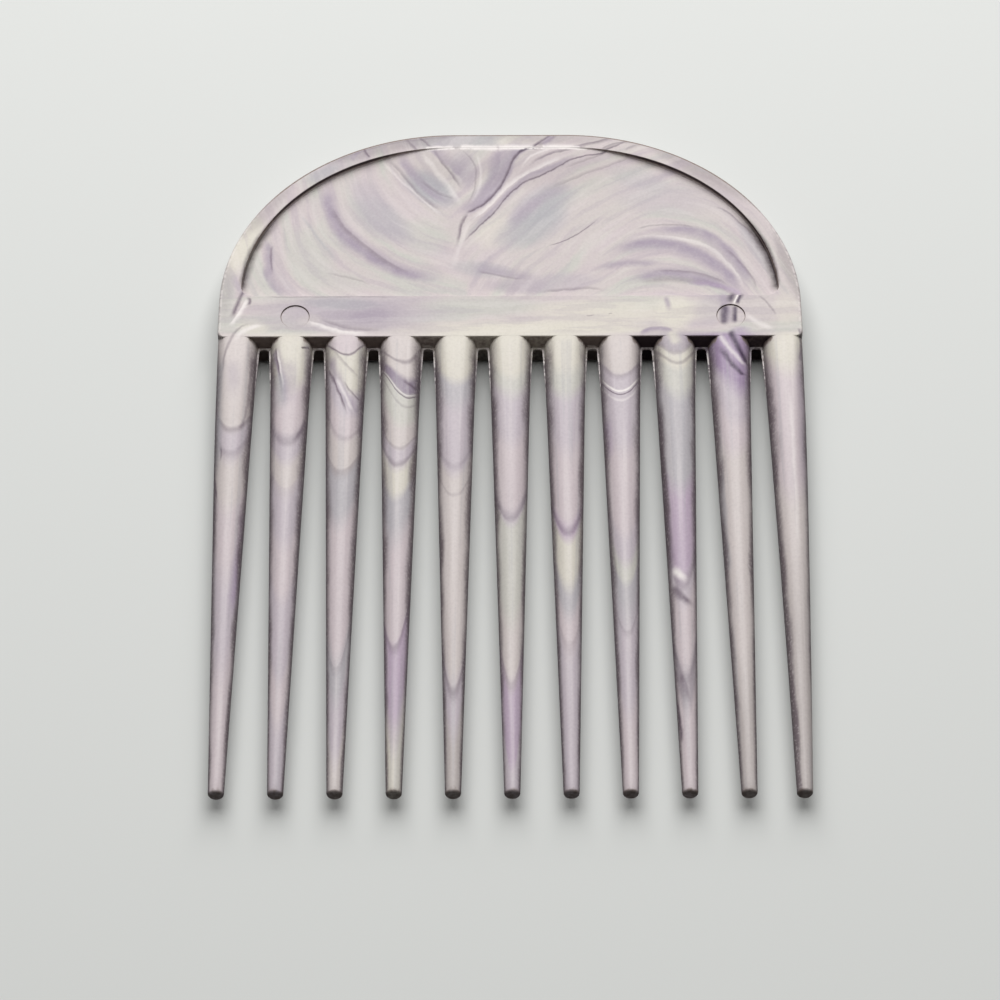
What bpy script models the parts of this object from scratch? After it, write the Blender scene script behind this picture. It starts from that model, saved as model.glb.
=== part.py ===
"""Wide-tooth hair pick, moulded in one piece of marbled plastic.

The pick lies flat on its back. X runs across the teeth, +Y points from the tips to the
handle's top, and +Z points up out of the front face. Metres. The origin is under the
middle of the pick, on the surface that it lies on.

Each shape below is drawn about the middle of the spine band's lower edge, halfway
through the thickness. "Across" is X, "up" is +Y, "down" is -Y and "height" is Z.
"""

import math

import bmesh
import bpy

MM = 0.001

# Whole pick
THICKNESS = 6.4 * MM
TOOTH_COUNT = 11
TOOTH_PITCH = 8.5 * MM
TOOTH_LENGTH = 80.5 * MM

# Handle
HANDLE_HALF_WIDTH = 45.4 * MM
HANDLE_HEIGHT = 40.95 * MM
HANDLE_CORNER = 1.0 * MM
SHOULDER_START = 6.8 * MM
TOP_FLAT_HALF = 9.0 * MM
EDGE_ROUND = 0.35 * MM
SIDE_SWELL = 0.06 * MM

# Recesses that leave the rim and the spine band standing, one on each face
BAND_HEIGHT = 7.95 * MM
RIM_AT_TOP = 2.75 * MM
RIM_AT_SIDE = 3.3 * MM
RECESS_SHOULDER_START = 8.5 * MM
RECESS_CORNER = 2.0 * MM
RECESS_DEPTH = 1.0 * MM
RECESS_DRAFT = 0.14 * MM

# Teeth
ROOT_WIDTH = 6.5 * MM
TIP_WIDTH = 2.3 * MM
TALL_SHARE = 1.13
TIP_ROUND = 0.4 * MM
LAST_TOOTH_LEAN = 0.55 * MM
STUB_LENGTH = 2.0 * MM
STUB_SCALE = 0.9
TOOTH_SIDES = 20

# Parting-line ledge round each gap's top
LEDGE_WIDTH = 0.28 * MM
LEDGE_THICKNESS = 0.3 * MM
LEDGE_REACH = 12.0 * MM
LEDGE_CORNER = 0.45 * MM
LEDGE_BURIED = 0.7 * MM

# Ejector marks on the front of the band
EJECTOR_DIAMETER = 4.45 * MM
EJECTOR_DEPTH = 0.2 * MM
EJECTOR_ACROSS = 33.8 * MM
EJECTOR_UP = 3.9 * MM

# Facets
SHOULDER_STEPS = 20
CORNER_STEPS = 4
EDGE_STEPS = 3
EJECTOR_SIDES = 28
CUTTER_CLEARANCE = 1.0 * MM

BAND_EDGE_Y = (TOOTH_LENGTH - HANDLE_HEIGHT - SIDE_SWELL) / 2
HALF_THICKNESS = THICKNESS / 2
PLACE = (0.0, BAND_EDGE_Y, HALF_THICKNESS)


def clear_scene():
    for thing in list(bpy.data.objects):
        bpy.data.objects.remove(thing, do_unlink=True)


def marbled_plastic():
    material = bpy.data.materials.new("marbled_plastic")
    material.use_nodes = True
    shader = material.node_tree.nodes["Principled BSDF"]
    shader.inputs["Base Color"].default_value = (0.66, 0.60, 0.63, 1.0)
    shader.inputs["Roughness"].default_value = 0.3
    shader.inputs["Metallic"].default_value = 0.0
    return material


def arc(centre, radius_across, radius_up, start_degrees, end_degrees, steps):
    """Points along a stretch of an ellipse, or of a circle where both radii are the same."""
    points = []
    for k in range(steps + 1):
        angle = math.radians(start_degrees + (end_degrees - start_degrees) * k / steps)
        points.append((centre[0] + radius_across * math.cos(angle), centre[1] + radius_up * math.sin(angle)))
    return points


def dome(half_width, foot, top, shoulder_start, corner):
    """A closed outline, anticlockwise: a straight foot, rounded lower corners, straight sides,
    shoulders that are quarters of an ellipse, and a flat top."""
    low_right = arc((half_width - corner, foot + corner), corner, corner, -90, 0, CORNER_STEPS)
    across, rise = half_width - TOP_FLAT_HALF, top - shoulder_start
    start = math.degrees(math.asin(max(0.0, foot + corner - shoulder_start) / rise))
    shoulder = arc((TOP_FLAT_HALF, shoulder_start), across, rise, start, 90, SHOULDER_STEPS)
    if start > 0:
        low_right.pop()
    right = low_right + shoulder
    return right + [(-x, y) for x, y in reversed(right)]


def shrunk(outline, distance, floor=None):
    """The outline moved inwards by a distance. Points on the floor line stay on it."""
    moved = []
    for i, (across, up) in enumerate(outline):
        ahead = outline[(i + 1) % len(outline)]
        behind = outline[i - 1]
        along = (ahead[0] - behind[0], ahead[1] - behind[1])
        length = math.hypot(*along)
        inner = (across - along[1] / length * distance, up + along[0] / length * distance)
        keeps_floor = floor is not None and abs(up - floor) < 1e-9
        moved.append((inner[0], floor if keeps_floor else inner[1]))
    return moved


def new_object(name, mesh_bm, material=None):
    bmesh.ops.recalc_face_normals(mesh_bm, faces=mesh_bm.faces)
    mesh = bpy.data.meshes.new(name)
    mesh_bm.to_mesh(mesh)
    mesh_bm.free()
    made = bpy.data.objects.new(name, mesh)
    made.location = PLACE
    if material:
        mesh.materials.append(material)
    bpy.context.scene.collection.objects.link(made)
    return made


def add_loft(mesh_bm, rings):
    """A closed solid through rings of points that all have the same count."""
    loops = [[mesh_bm.verts.new(point) for point in ring] for ring in rings]
    count = len(loops[0])
    for lower, upper in zip(loops, loops[1:]):
        for i in range(count):
            j = (i + 1) % count
            mesh_bm.faces.new((lower[i], lower[j], upper[j], upper[i]))
    mesh_bm.faces.new(list(reversed(loops[0])))
    mesh_bm.faces.new(loops[-1])


def flat_ring(outline, height):
    return [(across, up, height) for across, up in outline]


def handle_blank(material):
    """The D-shaped handle with its spine band, solid, its outer edges rounded on both faces."""
    outline = dome(HANDLE_HALF_WIDTH, 0.0, HANDLE_HEIGHT, SHOULDER_START, HANDLE_CORNER)
    front = []
    for k in range(EDGE_STEPS + 1):
        angle = math.radians(90 * k / EDGE_STEPS)
        inset = EDGE_ROUND * (1 - math.cos(angle))
        height = HALF_THICKNESS - EDGE_ROUND * (1 - math.sin(angle))
        front.append((inset, height))
    back = [(inset, -height) for inset, height in reversed(front)]
    levels = back + [(-SIDE_SWELL, 0.0)] + front
    mesh_bm = bmesh.new()
    add_loft(mesh_bm, [flat_ring(shrunk(outline, inset, floor=0.0), height) for inset, height in levels])
    return new_object("comb_moulding", mesh_bm, material)


def recess_cutter(name, side):
    """Cuts the handle back to its web on one face. Side is 1 for the front and -1 for the back."""
    half_width = HANDLE_HALF_WIDTH - RIM_AT_SIDE
    top = HANDLE_HEIGHT - RIM_AT_TOP
    outline = dome(half_width, BAND_HEIGHT, top, RECESS_SHOULDER_START, RECESS_CORNER)
    rings = [
        flat_ring(shrunk(outline, RECESS_DRAFT), side * (HALF_THICKNESS - RECESS_DEPTH)),
        flat_ring(outline, side * HALF_THICKNESS),
        flat_ring(outline, side * (HALF_THICKNESS + CUTTER_CLEARANCE)),
    ]
    mesh_bm = bmesh.new()
    add_loft(mesh_bm, rings)
    return new_object(name, mesh_bm)


def ejector_cutter():
    """Two shallow round marks near the ends of the band, on the front."""
    mesh_bm = bmesh.new()
    for side in (-1, 1):
        centre = (side * EJECTOR_ACROSS, EJECTOR_UP)
        radius = EJECTOR_DIAMETER / 2
        circle = arc(centre, radius, radius, 0, 360, EJECTOR_SIDES)[:-1]
        heights = (HALF_THICKNESS - EJECTOR_DEPTH, HALF_THICKNESS + CUTTER_CLEARANCE)
        add_loft(mesh_bm, [flat_ring(circle, height) for height in heights])
    return new_object("ejector_cutter", mesh_bm)


def tooth_width(down):
    return ROOT_WIDTH + (TIP_WIDTH - ROOT_WIDTH) * down / TOOTH_LENGTH


def tooth_centres():
    return [(i - (TOOTH_COUNT - 1) / 2) * TOOTH_PITCH for i in range(TOOTH_COUNT)]


def lean(centre, down):
    """How far the last tooth has bent towards the others. It grows with the square of the way down."""
    is_last = centre > (TOOTH_COUNT / 2 - 1) * TOOTH_PITCH
    return LAST_TOOTH_LEAN * (max(down, 0.0) / TOOTH_LENGTH) ** 2 if is_last else 0.0


def tooth_ring(centre, down, scale=1.0):
    """One section of a tooth: an upright oval, cut flat where it would stand above the band's faces."""
    half_width = tooth_width(max(down, 0.0)) / 2 * scale
    half_tall = half_width * TALL_SHARE
    flat = HALF_THICKNESS * scale if down < 0 else HALF_THICKNESS
    ring = []
    for k in range(TOOTH_SIDES):
        angle = math.tau * (k + 0.5) / TOOTH_SIDES
        across = centre + half_width * math.sin(angle)
        across = max(-HANDLE_HALF_WIDTH, min(HANDLE_HALF_WIDTH, across)) - lean(centre, down)
        height = max(-flat, min(flat, half_tall * math.cos(angle)))
        ring.append((across, -down, height))
    return ring


def crown_end():
    """How far down a tooth its flat crown runs out, where the oval is as tall as the band."""
    return TOOTH_LENGTH * (ROOT_WIDTH - THICKNESS / TALL_SHARE) / (ROOT_WIDTH - TIP_WIDTH)


def add_tooth(mesh_bm, centre):
    rings = [tooth_ring(centre, -STUB_LENGTH, STUB_SCALE), tooth_ring(centre, 0.0)]
    rings += [tooth_ring(centre, crown_end() * share) for share in (1 / 3, 2 / 3, 1.0)]
    slim_length = TOOTH_LENGTH - TIP_ROUND - crown_end()
    rings += [tooth_ring(centre, crown_end() + slim_length * share) for share in (1 / 3, 2 / 3, 1.0)]
    for degrees in (40, 80):
        angle = math.radians(degrees)
        down = TOOTH_LENGTH - TIP_ROUND * (1 - math.sin(angle))
        scale = 1 - TIP_ROUND * (1 - math.cos(angle)) / (TIP_WIDTH / 2)
        rings.append(tooth_ring(centre, down, scale))
    rings.append(tooth_ring(centre, TOOTH_LENGTH, 1 - TIP_ROUND / (TIP_WIDTH / 2)))
    add_loft(mesh_bm, rings)


def teeth():
    mesh_bm = bmesh.new()
    for centre in tooth_centres():
        add_tooth(mesh_bm, centre)
    return new_object("teeth_tool", mesh_bm)


def ledge_side(down):
    """Half the gap's width between the ledges, which sink into the teeth at LEDGE_REACH."""
    stands_out = LEDGE_WIDTH * (1 - 1.3 * max(down - LEDGE_WIDTH, 0.0) / LEDGE_REACH)
    return (TOOTH_PITCH - tooth_width(down)) / 2 - stands_out


def add_ledge(mesh_bm, gap_centre):
    """A thin fin along the parting line, down one side of a gap, round its top and down the other."""
    top = LEDGE_WIDTH
    bend = top + LEDGE_CORNER
    corner_centre = (ledge_side(bend) - LEDGE_CORNER, -bend)
    inner_corner = arc(corner_centre, LEDGE_CORNER, LEDGE_CORNER, 0, 90, CORNER_STEPS)
    outer_corner = [(ledge_side(bend) + LEDGE_BURIED, -bend), (ledge_side(bend) + LEDGE_BURIED, LEDGE_BURIED)]
    inner_right = [(ledge_side(LEDGE_REACH), -LEDGE_REACH), *inner_corner]
    outer_right = [(ledge_side(LEDGE_REACH) + LEDGE_BURIED, -LEDGE_REACH), *outer_corner]
    inner = inner_right + [(-x, y) for x, y in reversed(inner_right)]
    outer = outer_right + [(-x, y) for x, y in reversed(outer_right)]
    outline = [(gap_centre + x, y) for x, y in inner + outer[::-1]]
    add_loft(mesh_bm, [flat_ring(outline, side * LEDGE_THICKNESS / 2) for side in (-1, 1)])


def ledges():
    mesh_bm = bmesh.new()
    centres = tooth_centres()
    for left, right in zip(centres, centres[1:]):
        add_ledge(mesh_bm, (left + right) / 2)
    return new_object("ledge_tool", mesh_bm)


def combine(body, tool, operation):
    tool.hide_render = True
    tool.display_type = "WIRE"
    boolean = body.modifiers.new(tool.name, "BOOLEAN")
    boolean.operation = operation
    boolean.solver = "EXACT"
    boolean.object = tool


def main():
    clear_scene()
    body = handle_blank(marbled_plastic())
    combine(body, recess_cutter("front_recess_cutter", 1), "DIFFERENCE")
    combine(body, recess_cutter("back_recess_cutter", -1), "DIFFERENCE")
    combine(body, teeth(), "UNION")
    combine(body, ledges(), "UNION")
    combine(body, ejector_cutter(), "DIFFERENCE")
    body.data.shade_smooth()
    body.data.set_sharp_from_angle(angle=math.radians(30))


main()
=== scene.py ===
# %% [markdown]
# # A marbled hair pick, moulded in one shot
#
# The real thing is one piece of plastic. Pellets of several colours are only half mixed when
# they are pushed into the mould, so cream, pearl, lilac and grey plastic flow side by side and
# freeze as streaks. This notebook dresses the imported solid: first a camera, a table and a lamp,
# then a finer mesh of the same moulding, then the marbling. The first step loads the packed
# solid, because every size and place below is measured from it.

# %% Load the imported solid
import math

import bmesh
import bpy
from mathutils import Matrix, Vector


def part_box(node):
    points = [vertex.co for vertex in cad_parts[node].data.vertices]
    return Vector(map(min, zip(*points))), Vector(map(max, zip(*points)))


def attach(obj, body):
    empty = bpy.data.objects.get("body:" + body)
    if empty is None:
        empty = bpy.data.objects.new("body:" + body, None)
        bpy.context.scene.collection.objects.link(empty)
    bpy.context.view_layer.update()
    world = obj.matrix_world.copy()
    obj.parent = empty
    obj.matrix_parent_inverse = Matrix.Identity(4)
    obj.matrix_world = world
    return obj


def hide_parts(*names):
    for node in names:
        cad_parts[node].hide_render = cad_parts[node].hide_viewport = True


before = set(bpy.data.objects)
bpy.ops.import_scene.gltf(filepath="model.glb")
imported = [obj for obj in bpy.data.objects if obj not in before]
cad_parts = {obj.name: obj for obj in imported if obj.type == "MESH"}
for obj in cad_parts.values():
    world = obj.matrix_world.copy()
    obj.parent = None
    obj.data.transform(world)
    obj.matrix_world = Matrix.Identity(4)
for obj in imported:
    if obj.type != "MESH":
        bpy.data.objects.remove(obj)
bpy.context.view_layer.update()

# %% [markdown]
# ## The drawing's own corner
#
# A moulder draws the pick about the middle of the band's lower edge, halfway through the
# thickness: "across" runs to the right, "up" to the handle's top, "down" along the teeth, and
# "height" towards the viewer. Working in millimetres from that corner keeps every number below
# one that could be read off the real pick with a caliper.

# %% Measure the solid
MM = 0.001
HANDLE_HEIGHT = 40.95
SIDE_SWELL = 0.06
low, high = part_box("comb_moulding")
HALF_THICKNESS = (high.z - low.z) / 2 / MM
HALF_WIDTH = (high.x - low.x) / 2 / MM - SIDE_SWELL
BAND_EDGE = Vector((0.0, high.y - (HANDLE_HEIGHT + SIDE_SWELL) * MM, (high.z + low.z) / 2))
TOOTH_LENGTH = (BAND_EDGE.y - low.y) / MM
print(f"half width {HALF_WIDTH:.2f}, half thickness {HALF_THICKNESS:.2f}, teeth {TOOTH_LENGTH:.2f} mm")

# %% [markdown]
# ## Camera
#
# The photograph looks down at the pick from above its tips. A long lens keeps the teeth almost
# parallel. Blender could aim the camera with a Track To constraint, but a matrix is exact and
# can hold the slight roll of a hand-held shot, so the camera is placed by one.

# %% Place the camera
CAMERA_ELEVATION = math.radians(55.0)
CAMERA_ROLL = math.radians(-0.16)
CAMERA_DISTANCE = 0.565
CAMERA_LENS = 134.5
LOOKED_AT = BAND_EDGE + Vector((-1.65, -28.81, 0.0)) * MM

camera = bpy.data.objects.new("camera", bpy.data.cameras.new("camera"))
bpy.context.scene.collection.objects.link(camera)
camera.data.lens = CAMERA_LENS
camera.data.sensor_width = 36.0
camera.data.clip_start = 0.01
camera.data.clip_end = 20.0
gaze = Vector((0.0, math.cos(CAMERA_ELEVATION), -math.sin(CAMERA_ELEVATION)))
aim = gaze.to_track_quat("-Z", "Y").to_matrix().to_4x4()
place = Matrix.Translation(LOOKED_AT - gaze * CAMERA_DISTANCE)
camera.matrix_world = place @ aim @ Matrix.Rotation(CAMERA_ROLL, 4, "Z")
bpy.context.scene.camera = camera
print("camera at", [round(c, 3) for c in camera.matrix_world.translation])

# %% [markdown]
# ## Table and lamp
#
# The pick lies on a pale grey table. One wide, soft lamp hangs above and behind it, so the flat
# faces and the crowns of the teeth are bright and every upright wall falls dark. The lamp is a
# rectangular area light. A dim, even world fills the shadows a little, as the walls of a room
# would. The table is pale to the camera and much darker to every other ray, which Light Path
# tells apart, so that it doesn't brighten the gaps from below.

# %% Lay the table and hang the lamp
TABLE_COLOUR = (0.70, 0.71, 0.69, 1.0)
TABLE_BOUNCE = (0.16, 0.16, 0.16, 1.0)
TABLE_HALF = 1.5
LAMP_SIZE = (0.8, 1.1)
LAMP_HEIGHT = 0.62
LAMP_BEHIND = 0.42
LAMP_WATTS = 9.8
ROOM_LIGHT = 0.055


def plain_shader(material):
    material.use_nodes = True
    return material.node_tree.nodes["Principled BSDF"]


table_mesh = bpy.data.meshes.new("table")
corners = [(-1, -1), (1, -1), (1, 1), (-1, 1)]
table_mesh.from_pydata([(x * TABLE_HALF, y * TABLE_HALF, 0.0) for x, y in corners], [], [(0, 1, 2, 3)])
table = bpy.data.objects.new("table", table_mesh)
bpy.context.scene.collection.objects.link(table)
table_paint = bpy.data.materials.new("table_paint")
table_shader = plain_shader(table_paint)
table_shader.inputs["Roughness"].default_value = 0.9
table_shader.inputs["Specular IOR Level"].default_value = 0.0
seen_or_bounced = table_paint.node_tree.nodes.new("ShaderNodeMix")
seen_or_bounced.data_type = "RGBA"
seen_or_bounced.inputs[6].default_value = TABLE_BOUNCE
seen_or_bounced.inputs[7].default_value = TABLE_COLOUR
light_path = table_paint.node_tree.nodes.new("ShaderNodeLightPath")
table_paint.node_tree.links.new(light_path.outputs["Is Camera Ray"], seen_or_bounced.inputs[0])
table_paint.node_tree.links.new(seen_or_bounced.outputs[2], table_shader.inputs["Base Color"])
table_mesh.materials.append(table_paint)

lamp_data = bpy.data.lights.new("lamp", "AREA")
lamp_data.shape = "RECTANGLE"
lamp_data.size, lamp_data.size_y = LAMP_SIZE
lamp_data.energy = LAMP_WATTS
lamp = bpy.data.objects.new("lamp", lamp_data)
lamp.location = (0.0, LAMP_BEHIND, LAMP_HEIGHT)
lamp.rotation_euler = (-math.atan2(LAMP_BEHIND, LAMP_HEIGHT), 0.0, 0.0)
bpy.context.scene.collection.objects.link(lamp)

room = bpy.data.worlds.new("room")
room.use_nodes = True
room.node_tree.nodes["Background"].inputs["Color"].default_value = (1.0, 1.0, 1.0, 1.0)
room.node_tree.nodes["Background"].inputs["Strength"].default_value = ROOM_LIGHT
bpy.context.scene.world = room
bpy.context.scene.view_settings.view_transform = "Standard"
print("table, lamp and room ready")

# %% [markdown]
# ## The handle's outline
#
# The handle is a capital D lying on its straight side. One way to draw it is a Bezier curve,
# but its shape is so regular that a rule says it better: a straight foot, small round corners,
# short straight sides, shoulders that are quarters of an ellipse, and a flat stretch at the
# top. The recess inside it follows the same rule with other sizes, so one function draws both.

# %% Draw the D
CORNER_STEPS = 8
SHOULDER_STEPS = 72
TOP_FLAT_HALF = 9.0
ROUND_STEPS = 6


def arc(centre, radius_across, radius_up, start_degrees, end_degrees, steps):
    """Points along a stretch of an ellipse."""
    points = []
    for k in range(steps + 1):
        angle = math.radians(start_degrees + (end_degrees - start_degrees) * k / steps)
        points.append((centre[0] + radius_across * math.cos(angle), centre[1] + radius_up * math.sin(angle)))
    return points


def dome(half_width, foot, top, shoulder_start, corner):
    """The D, anticlockwise from its lower right corner."""
    low_right = arc((half_width - corner, foot + corner), corner, corner, -90, 0, CORNER_STEPS)
    across, rise = half_width - TOP_FLAT_HALF, top - shoulder_start
    start = math.degrees(math.asin(max(0.0, foot + corner - shoulder_start) / rise))
    shoulder = arc((TOP_FLAT_HALF, shoulder_start), across, rise, start, 90, SHOULDER_STEPS)
    if start > 0:
        low_right.pop()
    right = low_right + shoulder
    return right + [(-x, y) for x, y in reversed(right)]


def ramp_up(value, start, end):
    """0 before start, 1 past end, and a smooth step between."""
    share = min(max((value - start) / (end - start), 0.0), 1.0)
    return share * share * (3 - 2 * share)


def shrunk(outline, distance, foot_distance=None):
    """The outline moved inwards. Its foot may move by a distance of its own."""
    foot_distance = distance if foot_distance is None else foot_distance
    moved = []
    for i, (across, up) in enumerate(outline):
        ahead = outline[(i + 1) % len(outline)]
        behind = outline[i - 1]
        along = Vector((ahead[0] - behind[0], ahead[1] - behind[1])).normalized()
        is_foot = abs(up - outline[0][1]) < 1e-9
        foot_share = 1.0 if is_foot else max(0.0, along.x) ** 2
        step = distance + (foot_distance - distance) * foot_share
        sideways = -along.y * distance if not is_foot else 0.0
        upwards = along.x * step if not is_foot else foot_distance
        moved.append((across + sideways, up + upwards))
    return moved


print("outline points:", len(dome(HALF_WIDTH, 0.0, HANDLE_HEIGHT, 6.8, 1.0)))

# %% [markdown]
# ## The handle's body
#
# A bench modeller would extrude the D and bevel its rims. Here the same body is lofted: the
# outline is stacked at a dozen heights, drawn in a little at each rim so that the edge comes
# out round, and let out a hair at mid-thickness, where the two mould halves meet and leave a
# fine witness line. Lofting gives the rounding evenly and without any bevel artefacts.

# %% Loft the handle
SHOULDER_START = 6.8
HANDLE_CORNER = 1.0
EDGE_ROUND = 0.35
FOOT_ROUND = 0.12
EDGE_SUPPORT = 0.2
WITNESS_HALF = 0.05


def add_loft(mesh_bm, rings):
    """A closed solid through rings of points that all have the same count."""
    loops = [[mesh_bm.verts.new(point) for point in ring] for ring in rings]
    count = len(loops[0])
    for lower, upper in zip(loops, loops[1:]):
        for i in range(count):
            j = (i + 1) % count
            mesh_bm.faces.new((lower[i], lower[j], upper[j], upper[i]))
    mesh_bm.faces.new(list(reversed(loops[0])))
    mesh_bm.faces.new(loops[-1])


def flat_ring(outline, height):
    return [(across, up, height) for across, up in outline]


def solid_object(name, mesh_bm):
    """A bmesh in millimetres as an object, faces out."""
    bmesh.ops.recalc_face_normals(mesh_bm, faces=mesh_bm.faces)
    mesh = bpy.data.meshes.new(name)
    mesh_bm.to_mesh(mesh)
    mesh_bm.free()
    made = bpy.data.objects.new(name, mesh)
    bpy.context.scene.collection.objects.link(made)
    return made


def rounding(depth, radius):
    """How far a rounded edge has drawn in, at a depth under the face."""
    left = max(0.0, radius - depth)
    return radius - math.sqrt(radius * radius - left * left)


def handle_levels():
    """Rows of inset, foot inset and height, from mid-thickness to the front face."""
    levels = [(-SIDE_SWELL, 0.0, 0.0), (-SIDE_SWELL / 3, 0.0, WITNESS_HALF)]
    wall_top = HALF_THICKNESS - EDGE_ROUND
    levels += [(-SIDE_SWELL / 3 * (1 - share), 0.0, wall_top * share) for share in (0.35, 0.7)]
    for k in range(ROUND_STEPS + 1):
        depth = EDGE_ROUND * (1 - math.sin(math.radians(90 * k / ROUND_STEPS)))
        levels.append((rounding(depth, EDGE_ROUND), rounding(depth, FOOT_ROUND), HALF_THICKNESS - depth))
    levels.append((EDGE_ROUND + EDGE_SUPPORT, FOOT_ROUND + EDGE_SUPPORT, HALF_THICKNESS))
    return levels


def handle_body():
    outline = dome(HALF_WIDTH, 0.0, HANDLE_HEIGHT, SHOULDER_START, HANDLE_CORNER)
    front = handle_levels()
    back = [(inset, foot, -height) for inset, foot, height in reversed(front[1:])]
    mesh_bm = bmesh.new()
    add_loft(mesh_bm, [flat_ring(shrunk(outline, inset, foot), h) for inset, foot, h in back + front])
    return solid_object("marbled_pick", mesh_bm)


pick = handle_body()
print("handle faces:", len(pick.data.polygons))

# %% [markdown]
# ## The recess in each face
#
# The mould leaves a thin web inside a raised rim and band, to save plastic and to give the
# fingers a grip. A Boolean cut makes it. The cutter is lofted too, and its wall has the real
# profile: a small round on the rim's inner edge, a slight draft so that the part leaves the
# mould, and a fillet where the wall meets the web. Along the middle of the top the wall is so
# shallow that it hardly shows, and the cutter is shallow there.

# %% Make the recess cutters
BAND_HEIGHT = 7.95
RIM_AT_TOP = 2.75
RIM_AT_SIDE = 3.3
RECESS_SHOULDER_START = 8.5
RECESS_CORNER = 2.0
RECESS_DEPTH = 1.0
RECESS_DRAFT = 0.12
LIP_ROUND = 0.10
WEB_FILLET = 0.16
WALL_ROWS = 6
CUT_CLEARANCE = 1.0
SHALLOW_TOP = 8.5
SHALLOW_TOP_END = 24.0
SHALLOW_SHARE = 0.04
WEB_SUPPORT = 0.02
WEB_RISE_CENTRE = 14.0
WEB_RISE_REACH = 0.35
WEB_RISE_STEPS = 6


def recess_profile():
    """Rows of inset and depth down the wall, from above the face to the web."""
    rows = [(-LIP_ROUND, -CUT_CLEARANCE)]
    for k in range(ROUND_STEPS + 1):
        angle = math.radians(90 * k / ROUND_STEPS)
        rows.append((-LIP_ROUND * (1 - math.sin(angle)), LIP_ROUND * (1 - math.cos(angle))))
    for k in range(1, WALL_ROWS):
        share = k / WALL_ROWS
        rows.append((RECESS_DRAFT * share, LIP_ROUND + (RECESS_DEPTH - WEB_FILLET - LIP_ROUND) * share))
    for k in range(ROUND_STEPS + 1):
        angle = math.radians(90 * k / ROUND_STEPS)
        inset = RECESS_DRAFT + WEB_FILLET * (1 - math.cos(angle))
        rows.append((inset, RECESS_DEPTH - WEB_FILLET * (1 - math.sin(angle))))
    return rows


def wall_share(across, up):
    """How much of its full height the wall has: all of it, except along the middle of the top."""
    is_top = up > BAND_HEIGHT + RECESS_CORNER
    low_part = 1 - ramp_up(abs(across), SHALLOW_TOP, SHALLOW_TOP_END)
    return 1 - (1 - SHALLOW_SHARE) * low_part * is_top


def recess_ring(outline, inset, depth, side):
    """One ring down the wall. Under the face, its depth is scaled by the wall's height there."""
    ring = []
    for (across, up), (moved_across, moved_up) in zip(outline, shrunk(outline, inset)):
        scaled = depth * (wall_share(across, up) if depth > 0 else 1.0)
        ring.append((moved_across, moved_up, side * (HALF_THICKNESS - scaled)))
    return ring


def web_ring(outline, inset, share, side):
    """A smaller ring on the web, sinking from the wall's foot to the full depth."""
    ring = []
    scale = 1 - WEB_RISE_REACH * share
    for (across, up), (foot_across, foot_up) in zip(outline, shrunk(outline, inset)):
        sunk = wall_share(across, up)
        sunk += (1 - sunk) * ramp_up(share, 0.0, 1.0)
        place = (foot_across * scale, WEB_RISE_CENTRE + (foot_up - WEB_RISE_CENTRE) * scale)
        ring.append((*place, side * (HALF_THICKNESS - RECESS_DEPTH * sunk)))
    return ring


def recess_cutter(name, side):
    half_width = HALF_WIDTH - RIM_AT_SIDE
    top = HANDLE_HEIGHT - RIM_AT_TOP
    outline = dome(half_width, BAND_HEIGHT, top, RECESS_SHOULDER_START, RECESS_CORNER)
    rows = recess_profile()
    rings = [recess_ring(outline, inset, depth, side) for inset, depth in rows]
    shares = [WEB_SUPPORT] + [k / WEB_RISE_STEPS for k in range(1, WEB_RISE_STEPS + 1)]
    rings += [web_ring(outline, rows[-1][0], share, side) for share in shares]
    mesh_bm = bmesh.new()
    add_loft(mesh_bm, rings)
    return solid_object(name, mesh_bm)


recess_cutters = [recess_cutter("front_recess", 1), recess_cutter("back_recess", -1)]
print("recess profile rows:", len(recess_profile()))

# %% [markdown]
# ## Ejector marks
#
# Two pins push the part out of the mould and leave shallow round prints near the ends of the
# band. They are only a fifth of a millimetre deep, yet the step catches a dark line, so they
# are cut as real geometry, and that line is painted on as shadow. The floor keeps a ring of
# points just inside the step, where the painted shadow lies, darkest along the upper arc.

# %% Make the ejector cutter
EJECTOR_RADIUS = 2.225
EJECTOR_DEPTH = 0.2
EJECTOR_PLACES = (-33.45, 34.35)
EJECTOR_UP = 3.9
EJECTOR_SIDES = 64
EJECTOR_LIP = 0.05
EJECTOR_RING = 0.22


def ejector_cutter():
    mesh_bm = bmesh.new()
    profile = [(-EJECTOR_RING, -EJECTOR_DEPTH), (0.0, -EJECTOR_DEPTH), (0.0, -EJECTOR_LIP)]
    profile += [(EJECTOR_LIP, 0.0), (EJECTOR_LIP, CUT_CLEARANCE)]
    for place in EJECTOR_PLACES:
        rings = []
        for outset, above in profile:
            radius = EJECTOR_RADIUS + outset
            circle = arc((place, EJECTOR_UP), radius, radius, 0, 360, EJECTOR_SIDES)[:-1]
            rings.append(flat_ring(circle, HALF_THICKNESS + above))
        add_loft(mesh_bm, rings)
    return solid_object("ejector_marks", mesh_bm)


ejectors = ejector_cutter()
print("ejector marks:", len(EJECTOR_PLACES))

# %% [markdown]
# ## The teeth
#
# Each tooth is an upright oval that tapers evenly from root to tip. Near the root the oval is
# taller than the band, so the mould cuts it flat, flush with the band's faces. A hard cut would
# leave a crease that the real teeth don't have, so a smooth minimum rounds it over. The last
# tooth has bent a little towards its neighbours in use.

# %% Loft the teeth
TOOTH_COUNT = 11
TOOTH_PITCH = 8.5
ROOT_WIDTH = 6.5
TIP_WIDTH = 2.3
TALL_SHARE = 1.13
TIP_ROUND = 0.4
LAST_TOOTH_LEAN = 0.55
TOOTH_SIDES = 56
TOOTH_RINGS = 48
STUB_LENGTH = 2.0
STUB_SCALE = 0.9
CROWN_SOFTNESS = 0.35
TIP_TURN = 88
TIP_END_SCALE = 0.55


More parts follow.
